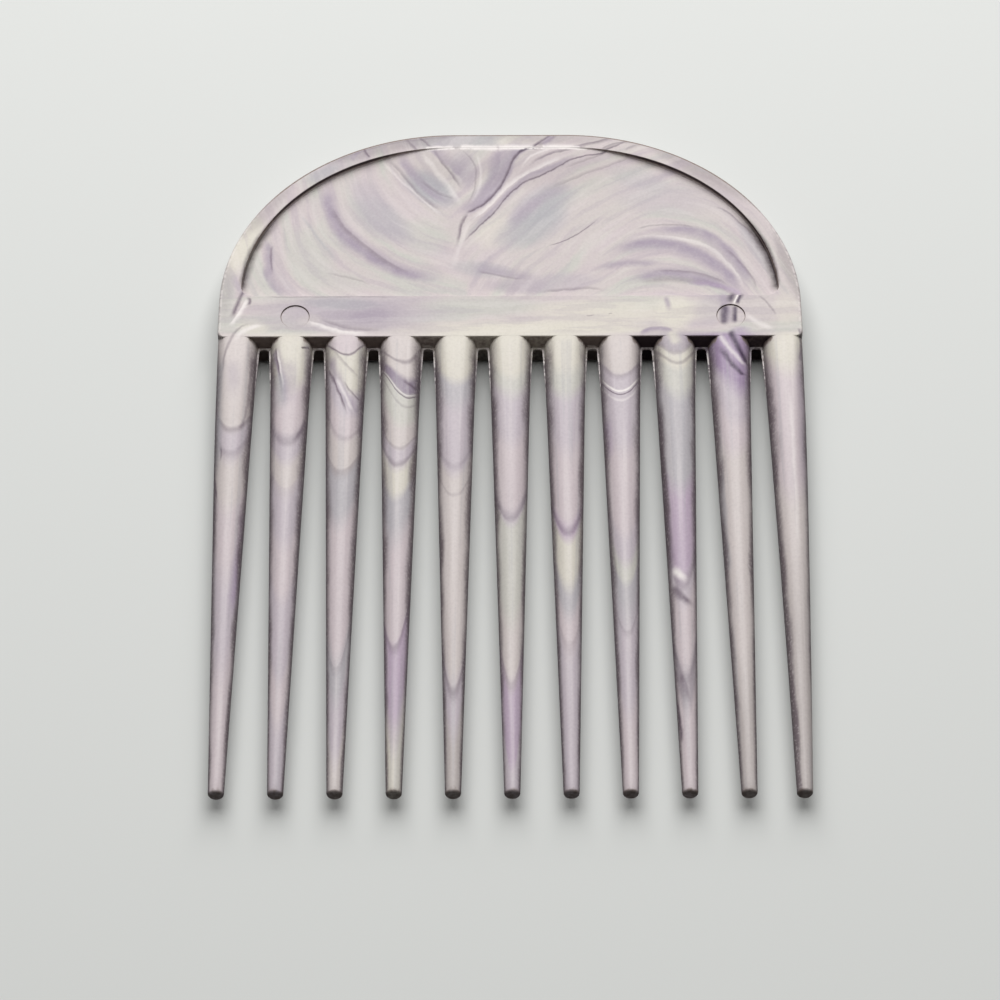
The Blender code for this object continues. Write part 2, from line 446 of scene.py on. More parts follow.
def tooth_width(down):
    return ROOT_WIDTH + (TIP_WIDTH - ROOT_WIDTH) * down / TOOTH_LENGTH


def tooth_centres():
    return [(i - (TOOTH_COUNT - 1) / 2) * TOOTH_PITCH for i in range(TOOTH_COUNT)]


def soft_limit(value, limit, softness):
    """The smaller of a value and a limit, either sign, with the corner between them rounded."""
    size = abs(value)
    overlap = max(0.0, softness - abs(size - limit)) / softness
    smaller = min(size, limit) - overlap * overlap * softness / 4
    return math.copysign(smaller, value)


def lean(centre, down):
    is_last = centre > (TOOTH_COUNT / 2 - 1) * TOOTH_PITCH
    return LAST_TOOTH_LEAN * (max(down, 0.0) / TOOTH_LENGTH) ** 2 if is_last else 0.0


def tooth_ring(centre, down, scale=1.0):
    half_width = tooth_width(max(down, 0.0)) / 2 * scale
    flat = HALF_THICKNESS * scale if down < 0 else HALF_THICKNESS
    ring = []
    for k in range(TOOTH_SIDES):
        angle = math.tau * (k + 0.5) / TOOTH_SIDES
        across = soft_limit(centre + half_width * math.sin(angle), HALF_WIDTH, CROWN_SOFTNESS)
        height = soft_limit(half_width * TALL_SHARE * math.cos(angle), flat, CROWN_SOFTNESS)
        ring.append((across - lean(centre, down), -down, height))
    return ring


def add_tooth(mesh_bm, centre):
    rings = [tooth_ring(centre, -STUB_LENGTH, STUB_SCALE)]
    straight = TOOTH_LENGTH - TIP_ROUND
    rings += [tooth_ring(centre, straight * k / TOOTH_RINGS) for k in range(TOOTH_RINGS + 1)]
    for k in range(1, ROUND_STEPS + 1):
        angle = math.radians(TIP_TURN * k / ROUND_STEPS)
        scale = 1 - TIP_ROUND * (1 - math.cos(angle)) / (TIP_WIDTH / 2)
        rings.append(tooth_ring(centre, straight + TIP_ROUND * math.sin(angle), scale))
    rings.append(tooth_ring(centre, TOOTH_LENGTH, TIP_END_SCALE))
    add_loft(mesh_bm, rings)


teeth_bm = bmesh.new()
for tooth_centre in tooth_centres():
    add_tooth(teeth_bm, tooth_centre)
teeth = solid_object("teeth", teeth_bm)
print("teeth faces:", len(teeth.data.polygons))

# %% [markdown]
# ## The parting ledge in each gap
#
# Where the mould halves meet between the teeth, a thin fin of plastic is left standing. It
# runs down one tooth, round the top of the gap and up the next, and shows in the photograph as
# a light line in the dark of the gap. It fades into the teeth a little way down.

# %% Make the ledges
LEDGE_WIDTH = 0.28
LEDGE_THICKNESS = 0.3
LEDGE_REACH = 12.0
LEDGE_CORNER = 0.45
LEDGE_BURIED = 0.7
LEDGE_SINK = 1.3
LEDGE_STEPS = 6


def ledge_side(down):
    """Half the gap's width between the ledges."""
    stands_out = LEDGE_WIDTH * (1 - LEDGE_SINK * max(down - LEDGE_WIDTH, 0.0) / LEDGE_REACH)
    return (TOOTH_PITCH - tooth_width(down)) / 2 - stands_out


def add_ledge(mesh_bm, gap_centre):
    bend = LEDGE_WIDTH + LEDGE_CORNER
    corner_centre = (ledge_side(bend) - LEDGE_CORNER, -bend)
    inner = [(ledge_side(LEDGE_REACH), -LEDGE_REACH)]
    inner += arc(corner_centre, LEDGE_CORNER, LEDGE_CORNER, 0, 90, LEDGE_STEPS)
    outer = [(ledge_side(LEDGE_REACH) + LEDGE_BURIED, -LEDGE_REACH), (ledge_side(bend) + LEDGE_BURIED, -bend)]
    outer.append((ledge_side(bend) + LEDGE_BURIED, LEDGE_BURIED))
    inner += [(-x, y) for x, y in reversed(inner)]
    outer += [(-x, y) for x, y in reversed(outer)]
    outline = [(gap_centre + x, y) for x, y in inner + outer[::-1]]
    add_loft(mesh_bm, [flat_ring(outline, side * LEDGE_THICKNESS / 2) for side in (-1, 1)])


ledge_bm = bmesh.new()
for left_centre, right_centre in zip(tooth_centres(), tooth_centres()[1:]):
    add_ledge(ledge_bm, (left_centre + right_centre) / 2)
ledges = solid_object("ledges", ledge_bm)
print("ledges:", TOOTH_COUNT - 1)

# %% [markdown]
# ## One closed body
#
# The moulding is a single body, so the parts are fused with exact Booleans and the result is
# frozen into one mesh, moved to its place and turned from millimetres into metres. Smooth
# shading over large flat faces can look dented. A Weighted Normal modifier lets each big flat
# face decide the shading of its own rim, which cures it.

# %% Fuse, place and smooth
SHARP_ANGLE = math.radians(40)
PATCH_EDGES = (-1.5 * TOOTH_PITCH, 1.5 * TOOTH_PITCH)


def combine(body, tool, operation):
    boolean = body.modifiers.new(tool.name, "BOOLEAN")
    boolean.operation = operation
    boolean.solver = "EXACT"
    boolean.object = tool


for cutter in recess_cutters:
    combine(pick, cutter, "DIFFERENCE")
combine(pick, teeth, "UNION")
combine(pick, ledges, "UNION")
combine(pick, ejectors, "DIFFERENCE")
bpy.context.view_layer.update()
fused = bpy.data.meshes.new_from_object(pick.evaluated_get(bpy.context.evaluated_depsgraph_get()))
pick.modifiers.clear()
pick.data = fused
for tool in [*recess_cutters, teeth, ledges, ejectors]:
    bpy.data.objects.remove(tool, do_unlink=True)
split_bm = bmesh.new()
split_bm.from_mesh(fused)
for patch_edge in PATCH_EDGES:
    everything = split_bm.verts[:] + split_bm.edges[:] + split_bm.faces[:]
    bmesh.ops.bisect_plane(split_bm, geom=everything, plane_co=(patch_edge, 0, 0), plane_no=(1, 0, 0))
split_bm.to_mesh(fused)
split_bm.free()
fused.transform(Matrix.Translation(BAND_EDGE) @ Matrix.Scale(MM, 4))
fused.shade_smooth()
fused.set_sharp_from_angle(angle=SHARP_ANGLE)
weighted = pick.modifiers.new("flat_faces_lead", "WEIGHTED_NORMAL")
weighted.keep_sharp = True
triangle_count = sum(len(face.vertices) - 2 for face in fused.polygons)
print("fused triangles:", triangle_count)

# %% [markdown]
# ## Painted shade, painted highlights and worn edges
#
# Each vertex gets two numbers, worked out from where it lies, and the material reads both with
# Attribute nodes. The first is painted shade: on the recess wall, most at its sides, in the tops
# of the gaps, on the ends of the tips, round the floor of the ejector prints, most along the upper
# arc, and along the rounded outer edge. It is brown where it is thin and nearly black where it is
# thick, and each gap has its own amount. The second is pale colour: years of use wear the rounded
# outer edges, the recess lip is worn and carries a painted highlight, and painted highlights run
# along the middle of the recess's top, the step above the band and the ledges. All this could be
# painted by hand.

# %% Mark the painted shade, the painted highlights and the worn edges
WALL_MARGIN = 0.02
# Painted shade along the rounded outer edge, growing towards the top.
OUTER_EDGE_SHADE = 0.62
# Painted shade in the tops of the gaps, one amount for each gap.
GAP_SHADE = (0.62, 0.62, 0.64, 0.5, 0.43, 0.48, 0.64, 0.95, 0.95, 0.85)
GAP_SHADE_ENDS = 3.2
# Painted shade on the ends of the tips.
TIP_END_SHADE = 0.5
TIP_END_SHADE_REACH = 1.2
# Painted highlights along the middle of the recess's top wall and on the step above the band.
TOP_WALL_HIGHLIGHT = 2.4
STEP_HIGHLIGHT = 1.6
# Painted highlights on the ledges, left and right side of each gap.
LEDGE_HIGHLIGHT = (1.2, 3.0)
# Painted shadow inside the ejector prints, darkest along the upper arc.
RING_SHADOW = (0.78, 1.0)
RING_SHADOW_RISE = (0.1, 0.7)
# Painted shade on the recess wall: how much at the sides, where it thins and how far down it reaches.
SIDE_SHADE = ((0.45, 8.0, 16.0), (0.55, 16.0, 30.0))
SHADE_THINS_BELOW = ((0.5, 29.0), (0.6, 24.0))
SHADE_THINS_OVER = 14.0
SHADE_GAIN = 1.6
SHADE_FALLS = (0.85, 0.3, 0.95)
SHADE_BELOW_LIP = 0.1
GAP_SHADE_HEIGHT = 0.88
GAP_SHADE_POWER = 1.7
GAP_SHADE_BLUR = 0.12
BESIDE_TOOTH = (2.6, 1.6)
FOOT_WALL = -0.2
ROOTS_BELOW = 0.3
LEDGE_MARGIN = 0.01
SIDE_MARGIN = 0.1
LEDGE_HIGHLIGHT_LOSS = 0.7
LEDGE_HIGHLIGHT_FADES_FROM = 3.0
TOP_MIDDLE = (9.0, 16.0)
TOP_ABOVE = 20
STEP_REACH = 0.5
OUTER_EDGE_SHADE_RISE = (8.0, 34.0)


def wall_shade(across, up):
    """Painted shade on the recess wall: none along the top's middle, more further to the side."""
    sideways = sum(share * ramp_up(abs(across), near, far) for share, near, far in SIDE_SHADE)
    return sideways * ramp_up(up, BAND_HEIGHT, BAND_HEIGHT + 1.0)


def how_shaded(across, up):
    """The painted shade thins out towards the recess's lower ends, sooner on the left."""
    thinned, shaded_from = SHADE_THINS_BELOW[across >= 0]
    return thinned + (1 - thinned) * ramp_up(up, shaded_from - SHADE_THINS_OVER, shaded_from)


def is_in_dome(across, up, half_width, top, shoulder_start):
    """Is the place inside a dome with these sizes?"""
    lean_in = max(abs(across) - TOP_FLAT_HALF, 0.0) / (half_width - TOP_FLAT_HALF)
    climb = max(up - shoulder_start, 0.0) / (top - shoulder_start)
    return lean_in ** 2 + climb ** 2 < 1


def is_in_recess(across, up, margin):
    half_width = HALF_WIDTH - RIM_AT_SIDE + margin
    top = HANDLE_HEIGHT - RIM_AT_TOP + margin
    return up > BAND_HEIGHT - margin and is_in_dome(across, up, half_width, top, RECESS_SHOULDER_START)


def is_near_wall(across, up):
    return not is_in_recess(across, up, -1.25 * (RECESS_DRAFT + WEB_FILLET))


def is_near_edge(across, up):
    inset = EDGE_ROUND + EDGE_SUPPORT / 2
    return not is_in_dome(across, up, HALF_WIDTH - inset, HANDLE_HEIGHT - inset, SHOULDER_START)


def gap_shade(across, up, height):
    """Painted shade at the tops of the gaps: on the band's foot wall and on the teeth beside it."""
    if abs(across) > (TOOTH_COUNT / 2 - 1) * TOOTH_PITCH + ROOT_WIDTH / 2 + SIDE_MARGIN:
        return 0.0
    from_middle = abs((across / TOOTH_PITCH) % 1.0 - 0.5) * TOOTH_PITCH
    reach = GAP_SHADE_HEIGHT * max(0.0, 1 + min(up, 0.0) / GAP_SHADE_ENDS) ** GAP_SHADE_POWER
    share = abs(height) / HALF_THICKNESS
    in_gap = (reach > 0) * (1 - ramp_up(share, reach, reach + GAP_SHADE_BLUR))
    beside = ramp_up(from_middle, *(TOOTH_PITCH / 2 - inset for inset in BESIDE_TOOTH))
    is_ledge = abs(height) < LEDGE_THICKNESS / 2 + LEDGE_MARGIN
    gap = math.floor(across / TOOTH_PITCH + TOOTH_COUNT // 2)
    return GAP_SHADE[gap] * in_gap * (not is_ledge) * min(beside + (up > FOOT_WALL), 1.0)


def ledge_highlight(across, up, height):
    """A painted highlight on the thin ledge round a gap, most on the gap's right side."""
    place_in_gap = (across / TOOTH_PITCH) % 1.0
    half_gap = (TOOTH_PITCH - tooth_width(max(-up, 0.0))) / 2
    is_thin = abs(height) < LEDGE_THICKNESS / 2 + LEDGE_MARGIN
    is_ledge = is_thin and -LEDGE_REACH < up < SIDE_MARGIN
    in_gap = abs(place_in_gap - 0.5) * TOOTH_PITCH < half_gap + SIDE_MARGIN
    fades = 1 - LEDGE_HIGHLIGHT_LOSS * ramp_up(-up, LEDGE_HIGHLIGHT_FADES_FROM, LEDGE_REACH)
    return LEDGE_HIGHLIGHT[place_in_gap > 0.5] * fades * (is_ledge and in_gap)


def recess_marks(across, up, depth):
    """Painted shade below the recess lip; wear and painted highlights on the lip, the top and the step."""
    share = depth / RECESS_DEPTH / wall_share(across, up)
    on_wall = is_near_wall(across, up) and WALL_MARGIN < depth
    loss, falls_from, falls_to = SHADE_FALLS
    # Painted shade on the wall, starting just below the lip and fading towards the web.
    shade_amount = min(SHADE_GAIN * wall_shade(across, up), 1.0) * ramp_up(share, 0.0, SHADE_BELOW_LIP)
    shade_amount *= 1 - loss * ramp_up(share, falls_from, falls_to)
    shade_amount *= on_wall * how_shaded(across, up)
    # A painted highlight along the middle of the top wall and on the step; the lip is worn pale and also
    # carries a painted highlight.
    top_highlight = (1 - ramp_up(abs(across), *TOP_MIDDLE)) * (up > TOP_ABOVE) * TOP_WALL_HIGHLIGHT
    step = (up < BAND_HEIGHT + STEP_REACH) * STEP_HIGHLIGHT
    return shade_amount, on_wall * max(top_highlight, step, float(depth < LIP_ROUND))


def mark_vertex(place):
    """The painted shade and the number for wear and highlight of one vertex, by its feature."""
    across, up, height = (place - BAND_EDGE) / MM
    depth = HALF_THICKNESS - abs(height)
    if up < ROOTS_BELOW and abs(across) < HALF_WIDTH - EDGE_ROUND:
        # Teeth: painted shade on the tips' ends and in the gaps, and painted highlights on the ledges.
        tip = ramp_up(-up, TOOTH_LENGTH - TIP_END_SHADE_REACH, TOOTH_LENGTH)
        return max(gap_shade(across, up, height), tip * TIP_END_SHADE), ledge_highlight(across, up, height)
    if is_in_recess(across, up, LIP_ROUND * 2):
        return recess_marks(across, up, depth)
    from_pin = Vector((across, up)) - Vector((EJECTOR_PLACES[across > 0], EJECTOR_UP))
    if from_pin.length < EJECTOR_RADIUS + 2 * EJECTOR_LIP:
        # Painted shadow on the ring inside the print's step, darkest along the upper arc.
        on_ring = depth > WALL_MARGIN and from_pin.length > EJECTOR_RADIUS - EJECTOR_RING / 2
        low, high = RING_SHADOW
        rise = ramp_up(from_pin.y / EJECTOR_RADIUS, *RING_SHADOW_RISE)
        return on_ring * (low + (high - low) * rise), 0.0
    # The rounded outer edge: painted shade that grows towards the top, and wear.
    on_edge = depth < EDGE_ROUND and is_near_edge(across, up)
    return on_edge * OUTER_EDGE_SHADE * ramp_up(up, *OUTER_EDGE_SHADE_RISE), float(on_edge)


marks = [mark_vertex(vertex.co) for vertex in fused.vertices]
for attribute_name, column in (("painted_shade", 0), ("edge_wear_and_highlight", 1)):
    attribute = fused.attributes.new(attribute_name, "FLOAT", "POINT")
    attribute.data.foreach_set("value", [mark[column] for mark in marks])
print("shaded vertices:", sum(mark[0] > 0 for mark in marks), "worn:", sum(mark[1] > 0 for mark in marks))

# %% [markdown]
# ## The plastic's colours
#
# The marbling is mixed from a few pellets: cream, pearl, rose, lilac, sage and ash, with mauve,
# violet, plum and ink for the veins and white for the bright streaks and the painted highlights.
# Brown and near-black paint shade in the recess, the gaps, the tips and the ejector prints, and
# near-black also marks a few dark dashes. Dusk paints shade on the teeth's flanks, darkens patches
# along the rim and tints dark specks. Writing them as hex codes keeps them readable. A shader adds
# up light and not codes, so each one is turned into linear values first.

# %% Mix the colours


def tint(code):
    """A maker's hex code as linear light."""
    levels = [int(code[i:i + 2], 16) / 255 for i in (0, 2, 4)]
    return (*(((level + 0.055) / 1.055) ** 2.4 for level in levels), 1.0)


CREAM = tint("dbd5c8")
PEARL = tint("cac1be")
ROSE = tint("c9bdbe")
LILAC = tint("bab0b6")
SAGE = tint("c4c2bb")
ASH = tint("acaaae")
MAUVE = tint("a295a4")
VIOLET = tint("ab97b2")
PLUM = tint("6b5c69")
WHITE = tint("f0e9e6")
INK = tint("4f4156")
# The next three colours paint shade; the first also marks dark dashes, and dusk also darkens rim patches and
# specks.
NEAR_BLACK = tint("463a3e")
BROWN = tint("8b7d76")
DUSK = tint("6e6268")
print("cream in linear light:", [round(level, 3) for level in CREAM])

# %% [markdown]
# ## A short way to wire nodes
#
# The Shader Editor is the place to try things out, but a pattern with hundreds of nodes is
# easier to keep right in code. This small class makes one node a call and hands back its output,
# so that a line of Python reads like a sum.

# %% Make the wiring board


class Board:
    """A shader node tree with a short call for each kind of node that the marbling needs."""

    def __init__(self, tree):
        self.tree = tree

    def plug(self, socket, value):
        if isinstance(value, bpy.types.NodeSocket):
            self.tree.links.new(value, socket)
        else:
            socket.default_value = value

    def node(self, kind, settings=None, inputs=None):
        made = self.tree.nodes.new(kind)
        for name, value in (settings or {}).items():
            setattr(made, name, value)
        for key, value in (inputs or {}).items():
            self.plug(made.inputs[key], value)
        return made

    def math(self, operation, *values):
        return self.node("ShaderNodeMath", {"operation": operation}, dict(enumerate(values))).outputs[0]

    def vector(self, operation, *values):
        made = self.node("ShaderNodeVectorMath", {"operation": operation}, dict(enumerate(values)))
        return made.outputs["Value" if operation in ("LENGTH", "DOT_PRODUCT") else "Vector"]

    def pack(self, x, y, z):
        return self.node("ShaderNodeCombineXYZ", None, {"X": x, "Y": y, "Z": z}).outputs[0]

    def unpack(self, vector):
        return self.node("ShaderNodeSeparateXYZ", None, {0: vector}).outputs

    def span(self, value, start, end, low=0.0, high=1.0):
        """low before start, high past end, and a smooth step between."""
        kind = {"interpolation_type": "SMOOTHSTEP", "clamp": False}
        sockets = {"Value": value, "From Min": start, "From Max": end, "To Min": low, "To Max": high}
        return self.node("ShaderNodeMapRange", kind, sockets).outputs[0]

    def blend(self, share, first, second):
        """A number that goes from first to second."""
        return self.math("MULTIPLY_ADD", share, self.math("SUBTRACT", second, first), first)

    def mix(self, factor, below, above):
        return self.node("ShaderNodeMix", {"data_type": "RGBA"}, {0: factor, 6: below, 7: above}).outputs[2]

    def noise(self, place, scale, detail=2.0, output="Fac"):
        sockets = {"Vector": place, "Scale": scale, "Detail": detail}
        return self.node("ShaderNodeTexNoise", None, sockets).outputs[output]

    def ramp(self, factor, stops):
        made = self.node("ShaderNodeValToRGB", None, {0: factor})
        elements = made.color_ramp.elements
        while len(elements) < len(stops):
            elements.new(1.0)
        for element, (position, colour) in zip(elements, stops):
            element.position = position
            element.color = colour
        return made.outputs[0]

    def curve(self, value, knots):
        """A value read off a curve through the knots."""
        made = self.node("ShaderNodeFloatCurve", None, {"Value": value})
        made.mapping.use_clip = False
        points = made.mapping.curves[0].points
        points[0].location, points[1].location = knots[0], knots[-1]
        for place, height in knots[1:-1]:
            points.new(place, height)
        made.mapping.update()
        return made.outputs[0]

    def use(self, tree, sockets=None, label=""):
        return self.node("ShaderNodeGroup", {"node_tree": tree, "label": label}, sockets).outputs


NUMBER = "NodeSocketFloat"
ARROW = "NodeSocketVector"
SHADE = "NodeSocketColor"


def new_group(name, inputs, outputs):
    """An empty node group: its board, its incoming sockets and its outgoing sockets."""
    tree = bpy.data.node_groups.new(name, "ShaderNodeTree")
    for label, kind in inputs.items():
        tree.interface.new_socket(label, in_out="INPUT", socket_type=kind)
    for label, kind in outputs.items():
        tree.interface.new_socket(label, in_out="OUTPUT", socket_type=kind)
    group_board = Board(tree)
    return group_board, group_board.node("NodeGroupInput").outputs, group_board.node("NodeGroupOutput").inputs


print("board ready")

# %% [markdown]
# ## One streak of colour
#
# A streak in marbled plastic is sharp on the side where two colours slid past each other and
# fades out on the other side. The first group measures how far a place lies along a route and
# how far to its left. The second turns those distances into a mask with its own edge on either
# side and a fade at both ends. Every vein below is a use of these two groups.

# %% Build the streak groups


def build_route_frame():
    board, given, result = new_group(
        "route_frame",
        {"Point": ARROW, "Start": ARROW, "Heading": ARROW, "Left": ARROW},
        {"Along": NUMBER, "Aside": NUMBER},
    )
    offset = board.vector("SUBTRACT", given["Point"], given["Start"])
    board.plug(result["Along"], board.vector("DOT_PRODUCT", offset, given["Heading"]))
    board.plug(result["Aside"], board.vector("DOT_PRODUCT", offset, given["Left"]))
    return board.tree


def build_streak():
    labels = ("Along", "Aside", "Route", "Length", "Left Edge", "Right Edge", "Start Fade", "End Fade")
    board, given, result = new_group(
        "streak",
        {label: NUMBER for label in labels + ("Strength", "Shreds")},
        {"Mask": NUMBER},
    )
    aside = board.math("SUBTRACT", given["Aside"], given["Route"])
    left = board.span(aside, 0.0, given["Left Edge"], 1.0, 0.0)
    right = board.span(aside, board.math("MULTIPLY", given["Right Edge"], -1.0), 0.0)
    begins = board.span(given["Along"], 0.0, given["Start Fade"])
    last_part = board.math("SUBTRACT", given["Length"], given["End Fade"])
    ends = board.span(given["Along"], last_part, given["Length"], 1.0, 0.0)
    body = board.math("MULTIPLY", board.math("MULTIPLY", left, right), board.math("MULTIPLY", begins, ends))
    strength = board.math("MULTIPLY", given["Strength"], given["Shreds"])
    board.plug(result["Mask"], board.math("MULTIPLY", body, strength))
    return board.tree


ROUTE_FRAME = build_route_frame()
STREAK = build_streak()
print("streak groups:", [group.name for group in bpy.data.node_groups])

# %% [markdown]
# ## Soft patches and flow fronts
#
# Between the veins lie wide clouds of one colour, which are stretched ovals with a soft edge. In
# the teeth the plastic was pushed straight down a narrow channel. It ran fastest in the middle,
# so each change of colour froze as a U, and a U is one value of "how far the flow had come". A
# flow front is a thin line at such a value.

# %% Build the patch and front groups
PATCH_CORE = 0.05


def build_soft_patch():
    """The two axes are arrows along the oval's radii, each as long as one divided by its radius."""
    board, given, result = new_group(
        "soft_patch",
        {"Point": ARROW, "Centre": ARROW, "Long Axis": ARROW, "Short Axis": ARROW, "Strength": NUMBER},
        {"Mask": NUMBER},
    )
    offset = board.vector("SUBTRACT", given["Point"], given["Centre"])
    first = board.vector("DOT_PRODUCT", offset, given["Long Axis"])
    second = board.vector("DOT_PRODUCT", offset, given["Short Axis"])
    reach = board.math("MULTIPLY_ADD", first, first, board.math("MULTIPLY", second, second))
    cloud = board.span(reach, 1.0, PATCH_CORE)
    board.plug(result["Mask"], board.math("MULTIPLY", cloud, given["Strength"]))
    return board.tree


def build_flow_front():
    board, given, result = new_group(
        "flow_front",
        {label: NUMBER for label in ("Flow", "At", "Before", "After", "Strength")},
        {"Mask": NUMBER},
    )
    rises = board.span(given["Flow"], board.math("SUBTRACT", given["At"], given["Before"]), given["At"])
    falls = board.span(given["Flow"], board.math("ADD", given["At"], given["After"]), given["At"])
    line = board.math("MULTIPLY", rises, falls)
    board.plug(result["Mask"], board.math("MULTIPLY", line, given["Strength"]))
    return board.tree


SOFT_PATCH = build_soft_patch()
FLOW_FRONT = build_flow_front()
print("patch and front groups ready")

# %% [markdown]
# ## The chart
#
# A material needs to know where on the pick a point lies. Object coordinates are in metres about
# the world's origin, so this group moves them to the drawing's corner and turns them into
# millimetres. A little noise bends the chart, because molten plastic never draws a clean line.
# On the handle the pattern also drifts with depth, so that the sides and the back carry on the
# same streaks instead of repeating the front. All noise is worked out before the two charts:
# Cycles then draws the veins one after the other, and its small stack of unfinished values lasts.

# %% Lay the chart
WOBBLE = 0.7
FINE_WOBBLE = 0.14
SHIVER = (0.5, 0.5, 0.0)
BACK_DRIFT = (-7.0, 5.0, 0.0)
DRIFT_STARTS = 1.6
SHRED_LOW = 0.8
TOOTH_THREAD_STRETCH = (1.1, 0.020, 1.1)


def build_chart():
    board, _, result = new_group(
        "chart",
        {},
        {"Drawing": ARROW, "Handle Chart": ARROW, "Tooth Chart": ARROW, "Shreds": NUMBER, "Threads": NUMBER},
    )
    object_place = board.node("ShaderNodeTexCoord").outputs["Object"]
    drawing = board.vector("MULTIPLY", board.vector("SUBTRACT", object_place, BAND_EDGE), (1 / MM,) * 3)
    height = board.unpack(drawing)[2]
    drift = board.span(board.math("SUBTRACT", HALF_THICKNESS, height), DRIFT_STARTS, 2 * HALF_THICKNESS)
    shred_noise = board.noise(board.vector("MULTIPLY", drawing, (1.0, 1.0, 0.3)), 0.55, 3.0)
    threads = board.noise(board.vector("MULTIPLY", drawing, TOOTH_THREAD_STRETCH), 1.0, 3.0)
    moved = drawing
    for scale, size in ((0.16, WOBBLE), (0.9, FINE_WOBBLE)):
        push = board.vector("SUBTRACT", board.noise(drawing, scale, output="Color"), (0.5,) * 3)
        moved = board.vector("ADD", moved, board.vector("MULTIPLY", push, (size, size, 0.0)))
    shiver = board.vector("SUBTRACT", board.pack(threads, shred_noise, shred_noise), (0.5,) * 3)
    moved = board.vector("ADD", moved, board.vector("MULTIPLY", shiver, SHIVER))
    drifted = board.vector("ADD", moved, board.vector("MULTIPLY", board.pack(drift, drift, 0.0), BACK_DRIFT))
    board.plug(result["Drawing"], drawing)
    board.plug(result["Handle Chart"], drifted)
    board.plug(result["Tooth Chart"], moved)
    board.plug(result["Shreds"], board.span(shred_noise, 0.3, 0.6, SHRED_LOW, 1.0))
    board.plug(result["Threads"], threads)
    return board.tree


CHART = build_chart()
print("chart nodes:", len(CHART.nodes))

# %% [markdown]
# ## The ground of the handle
#
# Under the veins the plastic is never one flat colour. It is drawn out into soft threads that
# follow the way the melt spread: down the left, in from the top, round to the right, and
# straight along the band. Noise that is stretched along such a route gives the threads, and a
# second, finer noise gives the feathers between them. A noise texture has no direction of its
# own, so it is fed the distances along and aside of each route.

# %% Spin the ground
THREAD_ALONG = 0.045
THREAD_ASIDE = 0.24
LEFT_FLOW = [(-31.5, 36.0), (-30.1, 31.6), (-27.2, 22.5), (-20.6, 15.6), (-14.2, 12.6), (-6.0, 9.5)]
MIDDLE_FLOW = [(19.0, 41.0), (11.2, 37.2), (3.8, 32.2), (-1.5, 26.2), (-7.7, 19.2), (-12.0, 9.0)]
RIGHT_FLOW = [(4.0, 10.5), (14.1, 14.5), (20.5, 18.6), (28.0, 18.5), (34.5, 14.0), (39.5, 6.5)]
BAND_FLOW = [(-44.0, 4.0), (-15.0, 4.2), (15.0, 4.2), (44.0, 4.0)]
FEATHER_SCALE = (1.8, 2.6, 1.0)
LEFT_LEAN, LEFT_OFFSET, LEFT_TO_MIDDLE = 0.2, 4.0, (-11.0, -6.0)
RIGHT_LEAN, RIGHT_OFFSET, MIDDLE_TO_RIGHT = -0.85, 11.9, (9.0, 15.0)
WEB_TO_BAND = (8.4, 7.4)
SEEDS_APART = 4.0
GROUND = [(0.28, LILAC), (0.42, ROSE), (0.52, PEARL), (0.62, SAGE), (0.78, PEARL)]


def route_through(points):
    """A route's start, heading and length, and its points as distances along and aside."""
    start = Vector(points[0])
    reach = Vector(points[-1]) - start
    heading = reach.normalized()
    left = Vector((-heading.y, heading.x))
    bends = [((Vector(p) - start).dot(heading), (Vector(p) - start).dot(left)) for p in points]
    return start, heading, reach.length, bends


def follow(board, point, points):
    """Sockets for along, aside and the route's own sideways place, and the route's length."""
    start, heading, length, bends = route_through(points)
    left = (-heading.y, heading.x, 0.0)
    given = {"Point": point, "Start": (*start, 0.0), "Heading": (*heading, 0.0), "Left": left}
    measured = board.use(ROUTE_FRAME, given)
    return measured["Along"], measured["Aside"], board.curve(measured["Along"], bends), length


def thread_field(board, chart, points, seed):
    """Threads along a route, and finer feathers in the same direction."""
    along, aside, route, _ = follow(board, chart, points)
    beside = board.math("SUBTRACT", aside, route)
    stretched = board.math("MULTIPLY", along, THREAD_ALONG)
    place = board.pack(stretched, board.math("MULTIPLY", beside, THREAD_ASIDE), seed)
    return board.noise(place, 1.0, 4.0), board.noise(board.vector("MULTIPLY", place, FEATHER_SCALE), 1.0, 3.0)


def build_ground():
    outputs = {"Threads": NUMBER, "Feathers": NUMBER}
    board, given, result = new_group("handle_ground", {"Chart": ARROW}, outputs)
    chart = given["Chart"]
    across, up, _ = board.unpack(chart)
    leaning_left = board.math("MULTIPLY_ADD", up, LEFT_LEAN, board.math("SUBTRACT", across, LEFT_OFFSET))
    leaning_right = board.math("MULTIPLY_ADD", up, RIGHT_LEAN, board.math("ADD", across, RIGHT_OFFSET))
    shares = [
        board.span(leaning_left, *LEFT_TO_MIDDLE),
        board.span(leaning_right, *MIDDLE_TO_RIGHT),
        board.span(up, *WEB_TO_BAND),
    ]
    routes = (LEFT_FLOW, MIDDLE_FLOW, RIGHT_FLOW, BAND_FLOW)
    fields = [thread_field(board, chart, route, SEEDS_APART * k) for k, route in enumerate(routes)]
    for layer, name in enumerate(("Threads", "Feathers")):
        value = fields[0][layer]
        for share, field in zip(shares, fields[1:]):
            value = board.blend(share, value, field[layer])
        board.plug(result[name], value)
    return board.tree


HANDLE_GROUND = build_ground()
print("ground nodes:", len(HANDLE_GROUND.nodes))

# %% [markdown]
# ## Clouds and veins on the handle
#
# Wide soft clouds come first, each with its centre, its two radii, a turn in degrees and a
# strength. They set where the handle is creamy, where it is rosy and where it is grey. A row's
# name becomes its node's label, so that the cloud can be found in the Shader Editor.

